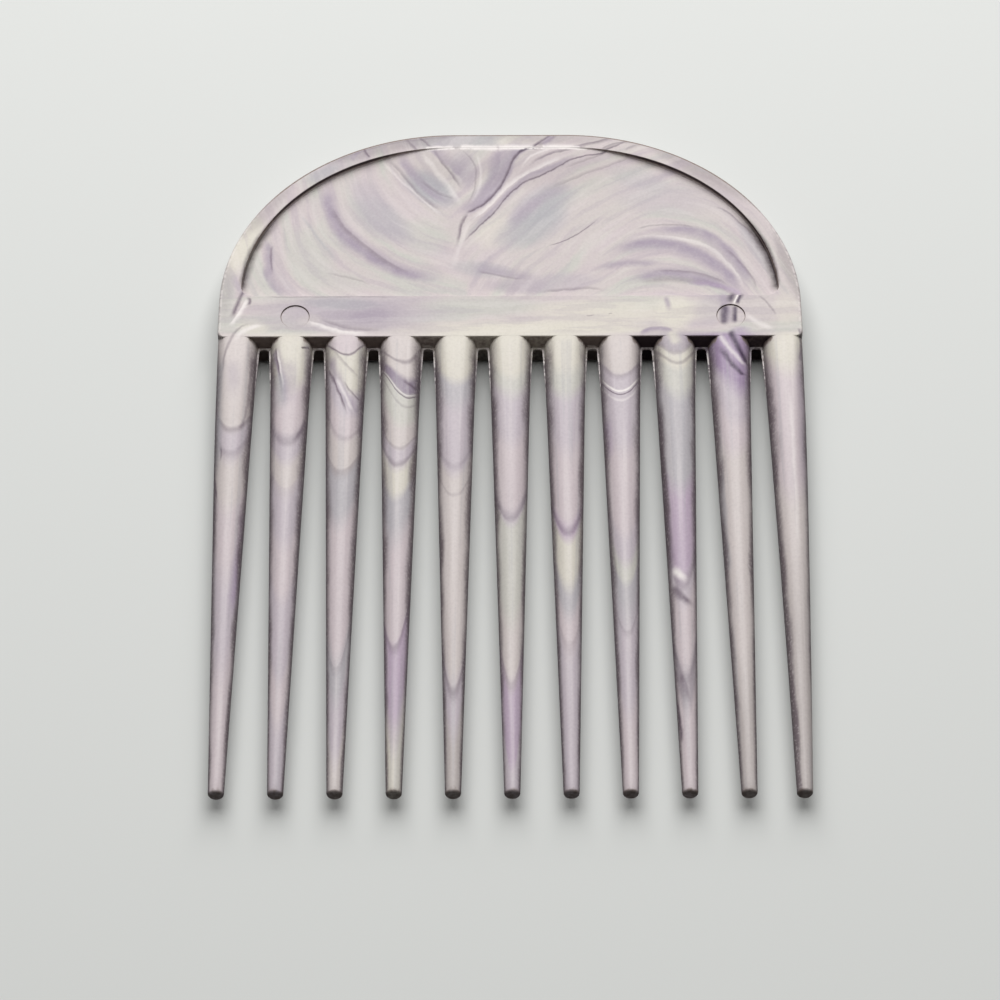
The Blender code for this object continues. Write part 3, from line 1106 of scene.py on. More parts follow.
# %% List the clouds
CLOUDS = [
    ("cream_left_rim", CREAM, 0.9, (-42.5, 17.5), (3.0, 8.5), -22),
    ("rose_rim", ROSE, 0.7, (-36.0, 28.0), (3.0, 6.5), -52),
    ("lilac_rim", LILAC, 0.6, (-27.0, 35.5), (9.0, 2.6), 26),
    ("grey_rim_patch", ASH, 0.7, (-29.8, 32.8), (4.0, 1.5), 35),
    ("grey_top_rim", ASH, 0.65, (-7.0, 39.7), (13.0, 2.2), 3),
    ("cream_top_rim", CREAM, 0.6, (0.5, 39.6), (3.4, 1.8), 0),
    ("sage_foot_rim", SAGE, 0.8, (-44.3, 7.0), (1.8, 7.5), 0),
    ("sage_left", SAGE, 0.7, (-31.5, 17.0), (4.6, 8.5), 8),
    ("rose_left", ROSE, 0.65, (-32.0, 25.5), (3.2, 5.0), -35),
    ("lilac_right_of_vein", LILAC, 0.75, (-20.8, 26.0), (3.6, 9.5), 33),
    ("rose_far_of_vein", ROSE, 0.5, (-17.5, 28.0), (2.5, 7.5), 35),
    ("sage_middle", SAGE, 0.6, (-13.5, 20.5), (4.4, 4.8), 25),
    ("sage_low_left", SAGE, 0.5, (-27.5, 12.0), (7.5, 2.6), -14),
    ("rose_low_left", ROSE, 0.5, (-20.5, 10.6), (4.5, 1.8), -22),
    ("grey_patch", ASH, 1.0, (-12.6, 30.4), (6.2, 3.4), -40),
    ("pearl_diagonal", PEARL, 0.85, (-11.3, 34.3), (6.5, 1.5), -46),
    ("lilac_arc_fill", LILAC, 0.8, (-7.2, 34.0), (2.6, 4.6), 12),
    ("pearl_column", PEARL, 0.7, (-4.3, 32.5), (1.3, 5.6), -14),
    ("mauve_by_dark_line", MAUVE, 0.6, (-1.8, 34.6), (2.1, 4.4), -10),
    ("lilac_by_dark_line", LILAC, 0.9, (-3.7, 29.6), (3.6, 2.2), 45),
    ("rose_between_lines", ROSE, 0.9, (2.8, 34.0), (7.5, 2.2), 43),
    ("cream_right_of_line", CREAM, 0.45, (-2.4, 21.5), (3.4, 4.6), -30),
    ("grey_cloud_middle", ASH, 0.85, (5.6, 26.8), (7.2, 4.4), 38),
    ("lilac_cloud_middle", LILAC, 0.75, (2.4, 25.6), (4.6, 2.0), 48),
    ("grey_low_middle", ASH, 0.5, (-4.5, 14.0), (6.0, 2.0), -10),
    ("mauve_low_middle", MAUVE, 0.5, (1.5, 10.6), (6.5, 2.0), -4),
    ("lilac_low_middle", LILAC, 0.7, (7.5, 11.3), (8.0, 2.4), 5),
    ("cream_right_field", PEARL, 0.7, (16.0, 28.0), (11.0, 5.0), 24),
    ("pearl_far_right", PEARL, 0.75, (30.0, 26.5), (8.5, 2.8), -32),
    ("rose_right_edge", ROSE, 0.7, (39.0, 14.5), (2.0, 8.0), 14),
    ("grey_under_wall", ASH, 0.5, (38.9, 18.0), (1.3, 7.5), 27),
    ("rose_right_rim", ROSE, 0.6, (36.5, 27.8), (3.0, 12.0), 45),
    ("cream_right_rim", PEARL, 0.5, (43.2, 14.0), (2.4, 9.0), 10),
    ("cream_foot_rim", CREAM, 0.45, (43.0, 5.0), (3.0, 4.0), 0),
    ("lilac_band", LILAC, 0.85, (-24.5, 4.6), (19.0, 5.0), 0),
    ("mauve_band", MAUVE, 0.35, (-24.0, 4.6), (11.0, 3.2), 0),
    ("sage_band", SAGE, 0.8, (-4.0, 6.0), (12.0, 2.2), -2),
    ("cream_band_foot", CREAM, 0.95, (4.0, 1.0), (26.0, 2.8), 0),
    ("cream_band_middle", CREAM, 0.55, (13.0, 4.4), (13.0, 3.2), 0),
    ("cream_band_left", CREAM, 0.6, (-40.0, 1.6), (3.2, 2.4), -20),
    ("cream_band_right", CREAM, 0.9, (25.5, 4.4), (3.6, 4.4), 0),
    ("lilac_band_right", LILAC, 0.9, (31.4, 5.4), (3.2, 3.6), -20),
    ("pearl_band_end", PEARL, 0.7, (39.0, 4.5), (3.0, 5.0), 10),
    ("lilac_by_vein", ASH, 0.5, (-20.5, 24.0), (8.0, 4.0), -42),
    ("ash_centre", ASH, 0.75, (3.5, 22.5), (8.0, 4.2), 32),
    ("lilac_right_field", LILAC, 0.5, (24.0, 28.5), (10.0, 5.0), -14),
    ("ash_right_field", ASH, 0.35, (20.5, 32.4), (6.0, 2.6), -18),
    ("pearl_right_end", PEARL, 0.5, (36.4, 15.0), (2.2, 4.0), 12),
    ("grey_band_top", ASH, 0.6, (-26.5, 6.4), (7.5, 1.5), -3),
    ("mauve_band_low", MAUVE, 0.6, (-21.8, 4.0), (4.6, 1.9), 8),
    ("pearl_band_gap", PEARL, 0.5, (-31.2, 3.2), (2.6, 1.6), 0),
    # The dusk rows here darken patches along the rim.
    ("rim_darker_left", DUSK, 0.36, (-19.0, 38.6), (15.0, 2.0), 16),
    ("rim_darker_top", DUSK, 0.22, (6.0, 40.2), (13.0, 1.5), -2),
    ("rim_darker_right", DUSK, 0.38, (31.0, 33.4), (17.0, 2.6), -36),
    ("rim_darker_right_low", DUSK, 0.36, (43.9, 15.0), (1.9, 12.0), 12),
    ("rim_darker_left_low", DUSK, 0.28, (-39.5, 25.0), (2.2, 10.0), -36),
    ("cream_band_right", CREAM, 0.45, (20.0, 5.0), (20.0, 3.2), 0),
    ("rim_darker_foot", DUSK, 0.2, (-44.6, 10.0), (1.6, 8.0), 0),
]
print("clouds:", len(CLOUDS))

# %% [markdown]
# Each row below is one vein: its name, its colour, its strength, how far it spreads to the left
# and to the right of its route, how long it takes to begin and to end, and the route itself in
# millimetres on the drawing. Walking along the route, left is the left hand's side.

# %% List the handle's veins
HANDLE_VEINS = [
    ("broad_mauve", MAUVE, 1.0, (2.7, 1.9), (4, 5), [(-30.1, 31.6), (-29.2, 28.5), (-27.2, 22.5),
         (-23.9, 18.4), (-20.6, 15.6), (-17.4, 13.6), (-14.2, 12.6), (-10.0, 11.2)]),
    ("mauve_echo", LILAC, 0.45, (1.76, 1.44), (3, 5), [(-25.5, 32.5), (-23.4, 29.0), (-21.0, 25.4),
         (-18.4, 22.0)]),
    ("grey_thread_2", PLUM, 0.28, (0.4, 0.3), (2, 2), [(-29.3, 13.4), (-25.3, 12.3), (-21.6, 10.9)]),
    ("grey_thread_3", ASH, 0.5, (0.5, 0.4), (3, 3), [(-33.5, 25.5), (-31.0, 21.5), (-28.5, 17.6),
         (-27.0, 15.0)]),
    ("wall_side_blob", MAUVE, 0.73, (2.4, 0.64), (2.5, 2), [(-38.6, 15.4), (-38.3, 12.6), (-37.2, 10.2),
         (-35.0, 8.2)]),
    ("wall_side_vein", MAUVE, 0.79, (0.8, 1.44), (2, 2), [(-38.2, 20.2), (-37.9, 17.0), (-37.9, 14.0),
         (-38.2, 12.0)]),
    ("wall_side_line", PLUM, 0.6, (0.2, 0.3), (1, 1.5), [(-37.6, 19.0), (-37.7, 16.0), (-37.4, 13.2)]),
    ("pearl_b", WHITE, 0.38, (0.5, 0.4), (2, 3), [(-20.8, 36.4), (-18.1, 32.8), (-14.0, 28.4),
         (-10.2, 24.2)]),
    ("vein_b_left", PLUM, 0.4, (0.7, 0.3), (3, 3), [(-20.0, 36.4), (-17.7, 34.0), (-14.2, 28.9),
         (-10.4, 25.6)]),
    ("vein_b_middle", MAUVE, 0.73, (1.92, 0.96), (2, 3), [(-18.0, 36.9), (-15.4, 33.0), (-12.6, 29.6),
         (-9.0, 27.0)]),
    ("grey_patch_line", PLUM, 0.32, (0.7, 0.3), (2, 2), [(-14.6, 32.4), (-12.4, 30.4), (-10.4, 29.0),
         (-8.0, 28.6)]),
    ("vein_c", PLUM, 0.55, (0.5, 0.3), (1, 3), [(-14.9, 40.8), (-12.3, 38.0), (-10.8, 35.4),
         (-9.2, 33.0), (-7.6, 30.0)]),
    ("vein_c_side", MAUVE, 0.63, (2.56, 0.48), (1, 3), [(-13.0, 38.4), (-10.6, 35.6), (-8.2, 33.2),
         (-6.6, 31.0)]),
    ("pearl_c", WHITE, 0.38, (0.5, 0.9), (2, 4), [(-14.0, 37.4), (-11.6, 33.8), (-9.0, 29.8),
         (-7.4, 26.0)]),
    ("arc_line", PLUM, 0.32, (0.3, 0.3), (2, 3), [(-8.2, 38.0), (-6.0, 35.6), (-5.4, 32.6),
         (-6.0, 29.1), (-7.6, 26.0)]),
    ("arc_pearl", WHITE, 0.38, (0.5, 0.3), (2, 3), [(-5.4, 37.5), (-4.7, 33.0), (-5.2, 29.6),
         (-7.0, 26.4)]),
    ("column_line", MAUVE, 0.63, (0.48, 1.44), (2, 3), [(-1.4, 38.0), (-2.0, 34.1), (-3.2, 31.1),
         (-5.2, 27.8)]),
    ("pearl_into_knot", WHITE, 0.45, (0.4, 0.5), (3, 3), [(-0.4, 33.5), (-1.8, 30.8), (-3.6, 28.8),
         (-6.0, 26.8)]),
    ("dark_line_glow", MAUVE, 0.95, (0.8, 3.2), (3, 3), [(4.8, 38.7), (1.4, 36.9), (-0.1, 33.4),
         (-2.2, 29.4), (-5.3, 26.4), (-7.8, 24.6)]),
    ("dark_line", PLUM, 1.0, (0.28, 0.5), (2, 1.5), [(7.6, 41.4), (5.8, 40.0), (4.4, 38.7), (1.6, 37.0),
         (0.5, 35.3), (-0.3, 33.2), (-1.0, 31.3), (-2.2, 29.4), (-3.7, 27.6), (-5.5, 26.2), (-7.2, 25.1)]),
    ("dark_line_ink", NEAR_BLACK, 0.5, (0.14, 0.22), (2, 2), [(4.4, 38.7), (2.4, 37.8), (1.2, 36.6)]),
    ("knot_tail", PLUM, 0.75, (0.3, 0.6), (1, 3), [(-6.6, 25.4), (-7.5, 23.2), (-7.8, 21.0),
         (-8.4, 18.0)]),
    ("knot_tail_rose", WHITE, 0.3, (0.5, 0.9), (2, 4), [(-6.0, 24.6), (-7.0, 21.5), (-8.0, 17.5),
         (-8.8, 14.0)]),
    ("second_line_glow", MAUVE, 0.73, (1.28, 0.64), (4, 5), [(11.2, 37.2), (6.7, 34.3), (2.6, 32.4),
         (0.0, 29.6), (-3.0, 25.8), (-7.0, 20.6)]),
    ("second_line", PLUM, 0.85, (0.25, 0.3), (3, 4), [(19.3, 39.9), (16.1, 37.8), (10.2, 35.9),
         (8.2, 34.6), (5.6, 33.0), (2.1, 31.4), (0.7, 30.0), (-0.6, 28.4), (-1.9, 26.4), (-4.8, 22.7),
         (-7.7, 19.2)]),
    ("pearl_beside_second", WHITE, 0.6, (0.3, 0.8), (3, 3), [(9.0, 36.6), (5.0, 34.2), (1.4, 32.2),
         (-1.0, 29.6), (-3.4, 26.6), (-6.4, 23.6)]),
    ("rose_strand_light", WHITE, 0.52, (0.4, 0.4), (2, 3), [(9.5, 38.2), (6.0, 37.6), (3.4, 36.2),
         (1.4, 33.4)]),
    ("third_line", PLUM, 0.4, (0.25, 0.5), (2, 4), [(17.6, 38.8), (14.5, 36.9), (11.5, 35.4),
         (8.2, 33.9)]),
    ("fourth_line", PLUM, 0.3, (0.25, 0.6), (2, 4), [(19.6, 36.8), (15.5, 34.6), (11.5, 32.8),
         (8.2, 31.3), (5.5, 29.6)]),
    ("cloud_core", MAUVE, 0.63, (1.6, 1.6), (4, 4), [(-0.6, 22.1), (1.4, 24.8), (3.4, 27.0),
         (5.9, 29.1), (10.0, 31.6)]),
    ("hair_line", PLUM, 0.7, (0.16, 0.22), (2, 3), [(5.8, 18.6), (8.3, 19.6), (10.3, 20.7),
         (12.5, 22.7), (14.3, 24.7)]),
    ("low_middle_line", PLUM, 0.45, (0.3, 0.4), (1, 2), [(-5.0, 13.6), (-1.6, 12.8), (1.4, 12.2),
         (2.6, 12.5)]),
    ("low_middle_glow", MAUVE, 0.63, (2.08, 0.8), (3, 3), [(-6.5, 14.0), (-2.4, 13.4), (2.0, 12.4),
         (5.0, 12.6)]),
    ("low_line", PLUM, 0.42, (0.6, 0.3), (3, 3), [(4.0, 9.2), (9.0, 9.8), (12.3, 10.0), (15.5, 9.3)]),
    ("right_hair", PLUM, 0.4, (0.25, 0.35), (2, 2), [(19.5, 21.8), (23.8, 22.7), (26.7, 22.9),
         (30.0, 22.4)]),
    ("right_arc_1", MAUVE, 0.9, (0.9, 2.6), (5, 3), [(20.5, 21.0), (25.2, 22.2), (29.6, 21.9),
         (33.0, 19.6), (36.2, 15.3), (38.2, 10.0)]),
    ("right_arc_1_end", PLUM, 0.4, (0.25, 0.5), (2, 1.5), [(33.6, 18.6), (36.0, 15.6), (37.6, 13.2),
         (38.8, 9.6)]),
    ("right_arc_light", WHITE, 0.38, (0.4, 0.9), (6, 3), [(18.0, 20.2), (25.0, 20.4), (30.6, 18.8),
         (34.6, 14.8), (37.0, 9.4)]),
    ("right_arc_2", MAUVE, 1.0, (1.4, 3.2), (5, 3), [(14.5, 16.6), (18.6, 18.8), (23.5, 19.5),
         (28.4, 18.0), (32.0, 15.6), (35.0, 12.3), (36.6, 9.2)]),
    ("right_arc_2_low", MAUVE, 0.73, (1.12, 1.28), (4, 4), [(12.5, 13.6), (16.4, 14.9), (20.4, 15.2),
         (25.0, 15.2)]),
    ("right_arc_3", MAUVE, 1.0, (2.0, 1.5), (5, 3), [(17.5, 11.6), (21.7, 12.6), (26.1, 12.9),
         (30.4, 11.8), (34.8, 9.0)]),
    ("right_arc_3_core", PLUM, 0.4, (1.0, 0.8), (4, 3), [(19.4, 11.0), (24.1, 11.8), (29.3, 11.4),
         (32.7, 10.2), (35.9, 8.4)]),
    ("right_end_violet", VIOLET, 0.6, (0.9, 0.9), (3, 1), [(27.0, 11.4), (31.5, 10.8), (36.5, 8.6)]),
    ("wall_hair", PLUM, 0.5, (0.2, 0.4), (2, 3), [(32.2, 26.7), (34.3, 25.6), (36.5, 23.3),
         (38.6, 20.7), (39.9, 18.0)]),
    ("rim_notch", PLUM, 0.8, (0.25, 0.4), (0.5, 0.5), [(-23.4, 38.4), (-23.2, 37.4), (-22.3, 36.0)]),
    ("rim_notch_side", MAUVE, 0.63, (0.32, 1.44), (0.5, 0.7), [(-23.6, 37.8), (-24.6, 36.6),
         (-25.2, 35.2)]),
    ("rim_fold_1", PLUM, 0.5, (0.3, 0.5), (0.5, 0.7), [(-16.6, 40.0), (-15.6, 38.6), (-14.6, 37.6)]),
    ("rim_fold_2", PLUM, 0.6, (0.5, 0.5), (0.6, 0.6), [(4.4, 38.5), (6.0, 39.4), (7.6, 41.0)]),
    ("rim_fold_3", PLUM, 0.65, (0.25, 0.7), (0.8, 0.6), [(9.8, 38.2), (13.0, 39.2), (16.9, 40.2)]),
    ("rim_fold_4", PLUM, 0.55, (0.25, 0.7), (0.8, 0.6), [(14.6, 37.6), (17.0, 38.9), (20.2, 39.4)]),
    ("rim_fold_5", PLUM, 0.35, (0.25, 0.6), (0.8, 0.6), [(18.3, 37.4), (19.6, 38.3), (22.4, 38.7)]),
    ("top_rim_line", PLUM, 0.3, (0.5, 0.4), (6, 6), [(-30.0, 34.2), (-22.0, 38.0), (-14.0, 40.0),
         (-6.0, 40.6)]),
    # The next two rows paint shade on the web along the foot of the recess's lower side walls.
    ("right_wall_shade", NEAR_BLACK, 1.0, (1.5, 0.8), (1.5, 8), [(41.9, 9.2), (41.8, 11.5), (41.0, 16.0),
         (39.6, 19.7), (37.6, 23.0), (35.2, 26.1)]),
    ("left_wall_shade", NEAR_BLACK, 0.8, (0.8, 1.2), (1.5, 8), [(-41.9, 9.2), (-41.8, 11.5), (-41.0, 16.0),
         (-39.6, 19.7), (-37.6, 23.0), (-35.2, 26.1)]),
    ("broad_mauve_line", PLUM, 0.45, (0.3, 1.0), (3, 4), [(-28.6, 27.5), (-26.2, 22.9), (-22.2, 18.2),
         (-18.4, 14.9), (-15.0, 13.2)]),
    ("right_arc_hair", PLUM, 0.4, (0.25, 0.6), (3, 3), [(22.0, 13.4), (26.5, 13.6), (31.0, 12.6),
         (35.0, 10.2)]),
    ("top_right_line", PLUM, 0.6, (0.3, 0.5), (2, 3), [(12.6, 38.4), (9.0, 37.6), (5.4, 36.2),
         (3.0, 34.4)]),
    # The next four rows paint a highlight along the middle of the recess's top.
    ("top_shine_1", WHITE, 1.0, (0.6, 0.6), (0.5, 0.6), [(-13.6, 38.1), (-11.1, 38.2), (-8.6, 38.1)]),
    ("top_shine_2", WHITE, 1.0, (0.8, 0.8), (0.5, 0.6), [(-8.0, 38.1), (-4.8, 38.2), (-1.6, 38.1)]),
    ("top_shine_3", WHITE, 1.0, (0.8, 0.8), (0.5, 0.6), [(-1.9, 38.1), (1.15, 38.2), (4.2, 38.1)]),
    ("top_shine_4", WHITE, 1.0, (0.7, 0.7), (0.5, 0.6), [(5.0, 38.1), (8.3, 38.2), (11.6, 38.1)]),
    ("dark_line_head", INK, 0.9, (0.36, 0.36), (1.0, 1.6), [(4.7, 37.9), (3.2, 37.9), (1.9, 37.5),
         (0.8, 36.4)]),
    ("top_rim_smudge", MAUVE, 0.75, (1.0, 0.8), (0.6, 0.6), [(7.2, 40.8), (6.0, 39.6), (5.2, 38.4)]),
]
print("veins on the handle:", len(HANDLE_VEINS))

# %% [markdown]
# Some streaks were dragged out of the band and into a tooth, or hug one flank of a tooth. They
# don't drift with depth, so that the handle and the teeth agree where they meet.

# %% List the crossing veins
CROSSING_VEINS = [
    ("corner_mark", PLUM, 0.85, (0.5, 0.6), (1.2, 1.5), [(-41.4, 9.6), (-42.2, 7.2), (-43.4, 3.4)]),
    ("corner_light", WHITE, 0.9, (0.8, 0.3), (1.0, 1.2), [(-41.0, 7.6), (-42.0, 5.2), (-43.6, 1.8)]),
    ("corner_spot", PLUM, 0.9, (0.45, 0.45), (0.6, 0.6), [(-41.1, 7.9), (-40.7, 7.3), (-41.0, 6.0)]),
    ("corner_swirl", WHITE, 0.7, (0.7, 0.7), (1.5, 2.0), [(-38.0, 2.4), (-41.0, 1.4), (-43.0, -1.5)]),
    ("corner_swirl_line", PLUM, 0.5, (0.3, 0.4), (1.5, 3.0), [(-40.4, 2.8), (-42.6, 0.8), (-43.9, -3.2),
         (-44.4, -8.0)]),
    ("band_edge_left", PLUM, 0.35, (0.15, 0.4), (2, 3), [(-38.8, 7.9), (-33.0, 7.85), (-26.0, 7.85),
         (-17.0, 7.9)]),
    ("band_scallop", WHITE, 0.8, (0.4, 0.9), (2, 3), [(-32.0, 3.2), (-29.0, 2.0), (-25.4, 0.9),
         (-21.0, 0.5)]),
    ("band_scallop_line", PLUM, 0.35, (0.8, 0.3), (2, 3), [(-30.0, 3.6), (-27.4, 2.3), (-23.6, 1.3),
         (-19.0, 1.4)]),
    ("band_smudge", MAUVE, 0.75, (0.84, 0.7), (1, 1.5), [(24.0, 8.0), (24.4, 6.4), (24.9, 4.6)]),
    ("band_pit_1", PLUM, 0.5, (0.16, 0.16), (0.3, 0.3), [(11.8, 4.0), (12.6, 3.9), (13.2, 4.1)]),
    ("band_pit_2", PLUM, 0.5, (0.14, 0.14), (0.2, 0.2), [(15.3, 4.2), (15.7, 4.3), (16.0, 4.2)]),
    ("band_crescent", MAUVE, 1.0, (0.56, 1.26), (1, 1), [(20.0, 0.1), (21.2, 1.2), (22.8, 1.4),
         (24.6, 1.0), (25.8, 0.2)]),
    ("gate_mauve", MAUVE, 0.8, (1.54, 1.54), (1.5, 1.5), [(33.0, 9.5), (33.6, 6.0), (33.9, 2.0)]),
    ("gate_mark_1", INK, 1.0, (0.77, 0.88), (0.8, 1.0), [(35.2, 9.2), (34.7, 8.0), (34.0, 6.2)]),
    ("gate_mark_2", INK, 1.0, (0.66, 0.66), (0.8, 0.8), [(36.6, 9.0), (36.1, 7.9), (35.2, 6.0)]),
    ("gate_mark_light", WHITE, 0.9, (0.25, 0.3), (0.8, 0.8), [(35.9, 8.8), (35.4, 7.6), (34.7, 6.0)]),
    ("gate_vein_1", INK, 1.0, (1.1, 0.99), (0.7, 0.9), [(33.4, 6.2), (33.3, 4.4), (33.1, 2.0)]),
    ("gate_vein_2", INK, 1.0, (0.66, 0.66), (0.7, 0.9), [(35.0, 6.2), (34.9, 4.4), (34.8, 2.2)]),
    ("band_end_hair", PLUM, 0.4, (0.3, 0.3), (1.2, 1.2), [(38.6, 8.0), (40.4, 6.0), (41.4, 3.8)]),
    ("band_end_pearl", WHITE, 0.5, (0.8, 0.8), (1.5, 1.5), [(36.4, 4.4), (38.6, 2.4), (41.0, 1.0)]),
    ("right_end_ink", PLUM, 0.8, (0.5, 0.4), (0.6, 1.5), [(44.6, 1.4), (45.0, -1.0), (44.7, -4.8)]),
    ("tooth_1_arm", PLUM, 0.45, (0.4, 0.4), (3, 2), [(-39.8, -2.0), (-40.1, -9.0), (-40.6, -14.6),
         (-41.6, -18.4)]),
    # Partly grey colour and partly painted shade down the first tooth's outer flank.
    ("tooth_1_grey_and_shade_left", ASH, 0.9, (1.26, 1.68), (4, 5), [(-44.8, -2.5), (-45.0, -12.0),
         (-44.6, -26.0)]),
    ("tooth_1_spot", PLUM, 0.7, (0.25, 0.25), (0.6, 0.8), [(-44.1, -20.4), (-43.9, -22.0),
         (-44.0, -23.2)]),
    ("tooth_1_dark_left", PLUM, 0.9, (0.3, 0.3), (2, 2), [(-45.1, -22.6), (-44.8, -26.4),
         (-44.3, -30.6)]),
    ("tooth_1_right", VIOLET, 0.7, (0.56, 1.26), (4, 6), [(-39.9, -30.0), (-40.3, -37.0),
         (-40.8, -44.0), (-41.2, -52.0)]),
    ("tooth_2_left", MAUVE, 0.9, (1.4, 0.56), (1.5, 4), [(-36.8, -1.6), (-35.9, -5.0), (-34.9, -9.6),
         (-34.6, -14.0)]),
    ("tooth_2_left_light", WHITE, 1.0, (0.3, 0.3), (1, 2.5), [(-36.0, -2.0), (-35.4, -5.6),
         (-34.9, -10.4)]),
    ("tooth_2_left_line", PLUM, 0.7, (0.22, 0.3), (1, 3), [(-36.4, -1.4), (-35.8, -4.6), (-35.2, -8.6),
         (-35.0, -12.0)]),
    ("tooth_2_right_arm", PLUM, 0.6, (0.4, 0.4), (1.5, 1.5), [(-31.5, -13.8), (-32.0, -17.4),
         (-33.0, -20.0)]),
    ("tooth_2_dash", NEAR_BLACK, 0.9, (0.3, 0.3), (0.3, 0.3), [(-32.3, -2.1), (-31.6, -1.6), (-31.0, -1.1)]),
    ("tooth_2_throat", MAUVE, 0.45, (0.56, 1.12), (1, 2), [(-31.4, -0.4), (-31.1, -3.6), (-31.0, -8.0)]),
    ("tooth_3_left", MAUVE, 0.8, (1.54, 0.7), (2, 3), [(-28.0, -3.0), (-27.0, -7.0), (-25.2, -12.0),
         (-23.0, -15.6)]),
    ("tooth_3_line", PLUM, 0.85, (0.22, 0.4), (2, 3), [(-28.2, -4.8), (-27.2, -7.8), (-26.0, -11.3),
         (-24.8, -15.0)]),
    ("tooth_3_line_2", PLUM, 0.6, (0.25, 0.4), (1.5, 1), [(-25.6, -8.4), (-24.4, -10.4), (-22.6, -12.0)]),
    ("tooth_3_light", WHITE, 0.6, (0.5, 0.5), (1.5, 2), [(-26.8, -7.4), (-25.2, -11.6), (-23.6, -15.0)]),
    ("tooth_3_neck_line", PLUM, 0.4, (0.3, 0.5), (1, 2), [(-28.0, -1.2), (-26.6, -3.6), (-24.6, -6.2),
         (-22.9, -7.6)]),
    ("tooth_3_right", MAUVE, 0.7, (1.26, 0.42), (2, 4), [(-22.7, -8.4), (-22.8, -13.0), (-23.2, -19.0)]),
    ("tooth_4_band_ink", PLUM, 0.75, (0.7, 0.5), (1, 0.6), [(-16.8, -8.2), (-15.6, -9.3), (-14.0, -9.5)]),
    ("tooth_7_left_ink", PLUM, 0.8, (0.25, 0.3), (3, 3), [(6.6, -66.0), (6.9, -70.0), (7.3, -76.0)]),
    ("tooth_8_left", VIOLET, 0.6, (1.26, 0.56), (3, 4), [(14.4, -14.0), (14.6, -18.0), (15.0, -24.0)]),
    ("tooth_9_throat", CREAM, 0.9, (1.5, 1.2), (1, 1), [(24.6, 1.2), (25.3, -0.6), (25.9, -2.0)]),
    ("tooth_9_left", PLUM, 0.75, (1.0, 0.4), (4, 3), [(23.2, -29.5), (23.5, -36.0), (23.8, -43.4)]),
    ("tooth_9_right", PLUM, 0.6, (0.4, 1.0), (4, 3), [(27.9, -29.5), (27.8, -37.0), (27.4, -44.4)]),
    ("tooth_9_flash", WHITE, 1.0, (1.02, 0.85), (1.4, 1.6), [(23.9, -42.2), (24.8, -43.9),
         (26.2, -45.6)]),
    ("tooth_9_swirl", PLUM, 0.85, (0.85, 1.19), (1.4, 1.6), [(23.6, -45.2), (24.8, -47.4),
         (27.0, -49.4)]),
    ("tooth_9_wedge", PLUM, 0.55, (0.5, 1.2), (1.5, 2), [(24.2, -60.4), (25.1, -62.6), (25.9, -66.4)]),
    ("tooth_9_left_ink", PLUM, 0.95, (0.35, 0.35), (2, 2), [(24.1, -64.5), (24.3, -68.0), (24.6, -73.0)]),
    ("tooth_10_right", VIOLET, 0.8, (2.24, 2.24), (1, 3), [(35.4, 2.0), (36.4, -3.0), (36.6, -9.0)]),
    ("tooth_10_light", WHITE, 0.6, (0.75, 0.6), (1, 0.8), [(32.2, 0.6), (33.2, -1.6), (34.6, -3.8),
         (36.2, -5.6)]),
    ("tooth_10_ink_1", INK, 1.0, (0.9, 0.83), (0.8, 1.0), [(34.0, 1.2), (34.8, -1.4), (35.8, -3.6),
         (37.0, -5.2)]),
    ("tooth_10_ink_2", INK, 0.9, (0.75, 0.75), (3, 0.4), [(31.6, -1.4), (33.2, -4.0), (34.6, -6.2),
         (35.9, -7.4)]),
    ("tooth_10_grey_left", ASH, 0.7, (0.7, 1.26), (2, 3), [(31.8, -24.0), (32.1, -36.0), (32.4, -44.0)]),
    ("tooth_11_middle", WHITE, 0.4, (0.6, 0.5), (4, 10), [(42.9, -10.0), (42.9, -24.0), (42.8, -44.0)]),
    ("tooth_11_right", MAUVE, 0.55, (1.26, 1.26), (3, 12), [(44.9, -1.0), (44.7, -14.0), (44.3, -34.0)]),
    ("tooth_2_neck", MAUVE, 0.5, (1.8, 1.8), (3, 5), [(-34.2, -3.6), (-33.8, -8.0), (-33.6, -14.0)]),
    ("tooth_1_neck", LILAC, 0.6, (2.0, 2.0), (3, 5), [(-42.8, -3.6), (-42.6, -8.0), (-42.4, -13.0)]),
    ("tooth_2_grey_left", ASH, 0.7, (1.2, 2.4), (2, 4), [(-35.6, -6.0), (-35.2, -10.0), (-34.8, -15.0)]),
    # The next five rows paint shade along the teeth's flanks.
    ("tooth_1_left_shade", DUSK, 1.0, (0.5, 0.9), (3, 6), [(-45.5, -8.0), (-45.3, -18.0), (-44.9, -32.0),
         (-44.4, -44.0)]),
    ("tooth_9_left_flank", DUSK, 0.7, (0.5, 1.0), (4, 5), [(22.9, -12.0), (23.2, -22.0), (23.7, -34.0)]),
    ("tooth_4_right_flank", DUSK, 0.6, (0.9, 0.5), (3, 5), [(-13.7, -10.0), (-13.9, -20.0),
         (-14.2, -32.0)]),
    ("tooth_3_right_flank", DUSK, 0.8, (1.2, 0.5), (3, 5), [(-22.2, -6.0), (-22.4, -14.0),
         (-22.9, -28.0)]),
    ("tooth_2_right_flank", DUSK, 0.8, (1.2, 0.5), (3, 5), [(-30.7, -6.0), (-30.9, -14.0),
         (-31.4, -26.0)]),
]
print("crossing veins:", len(CROSSING_VEINS))
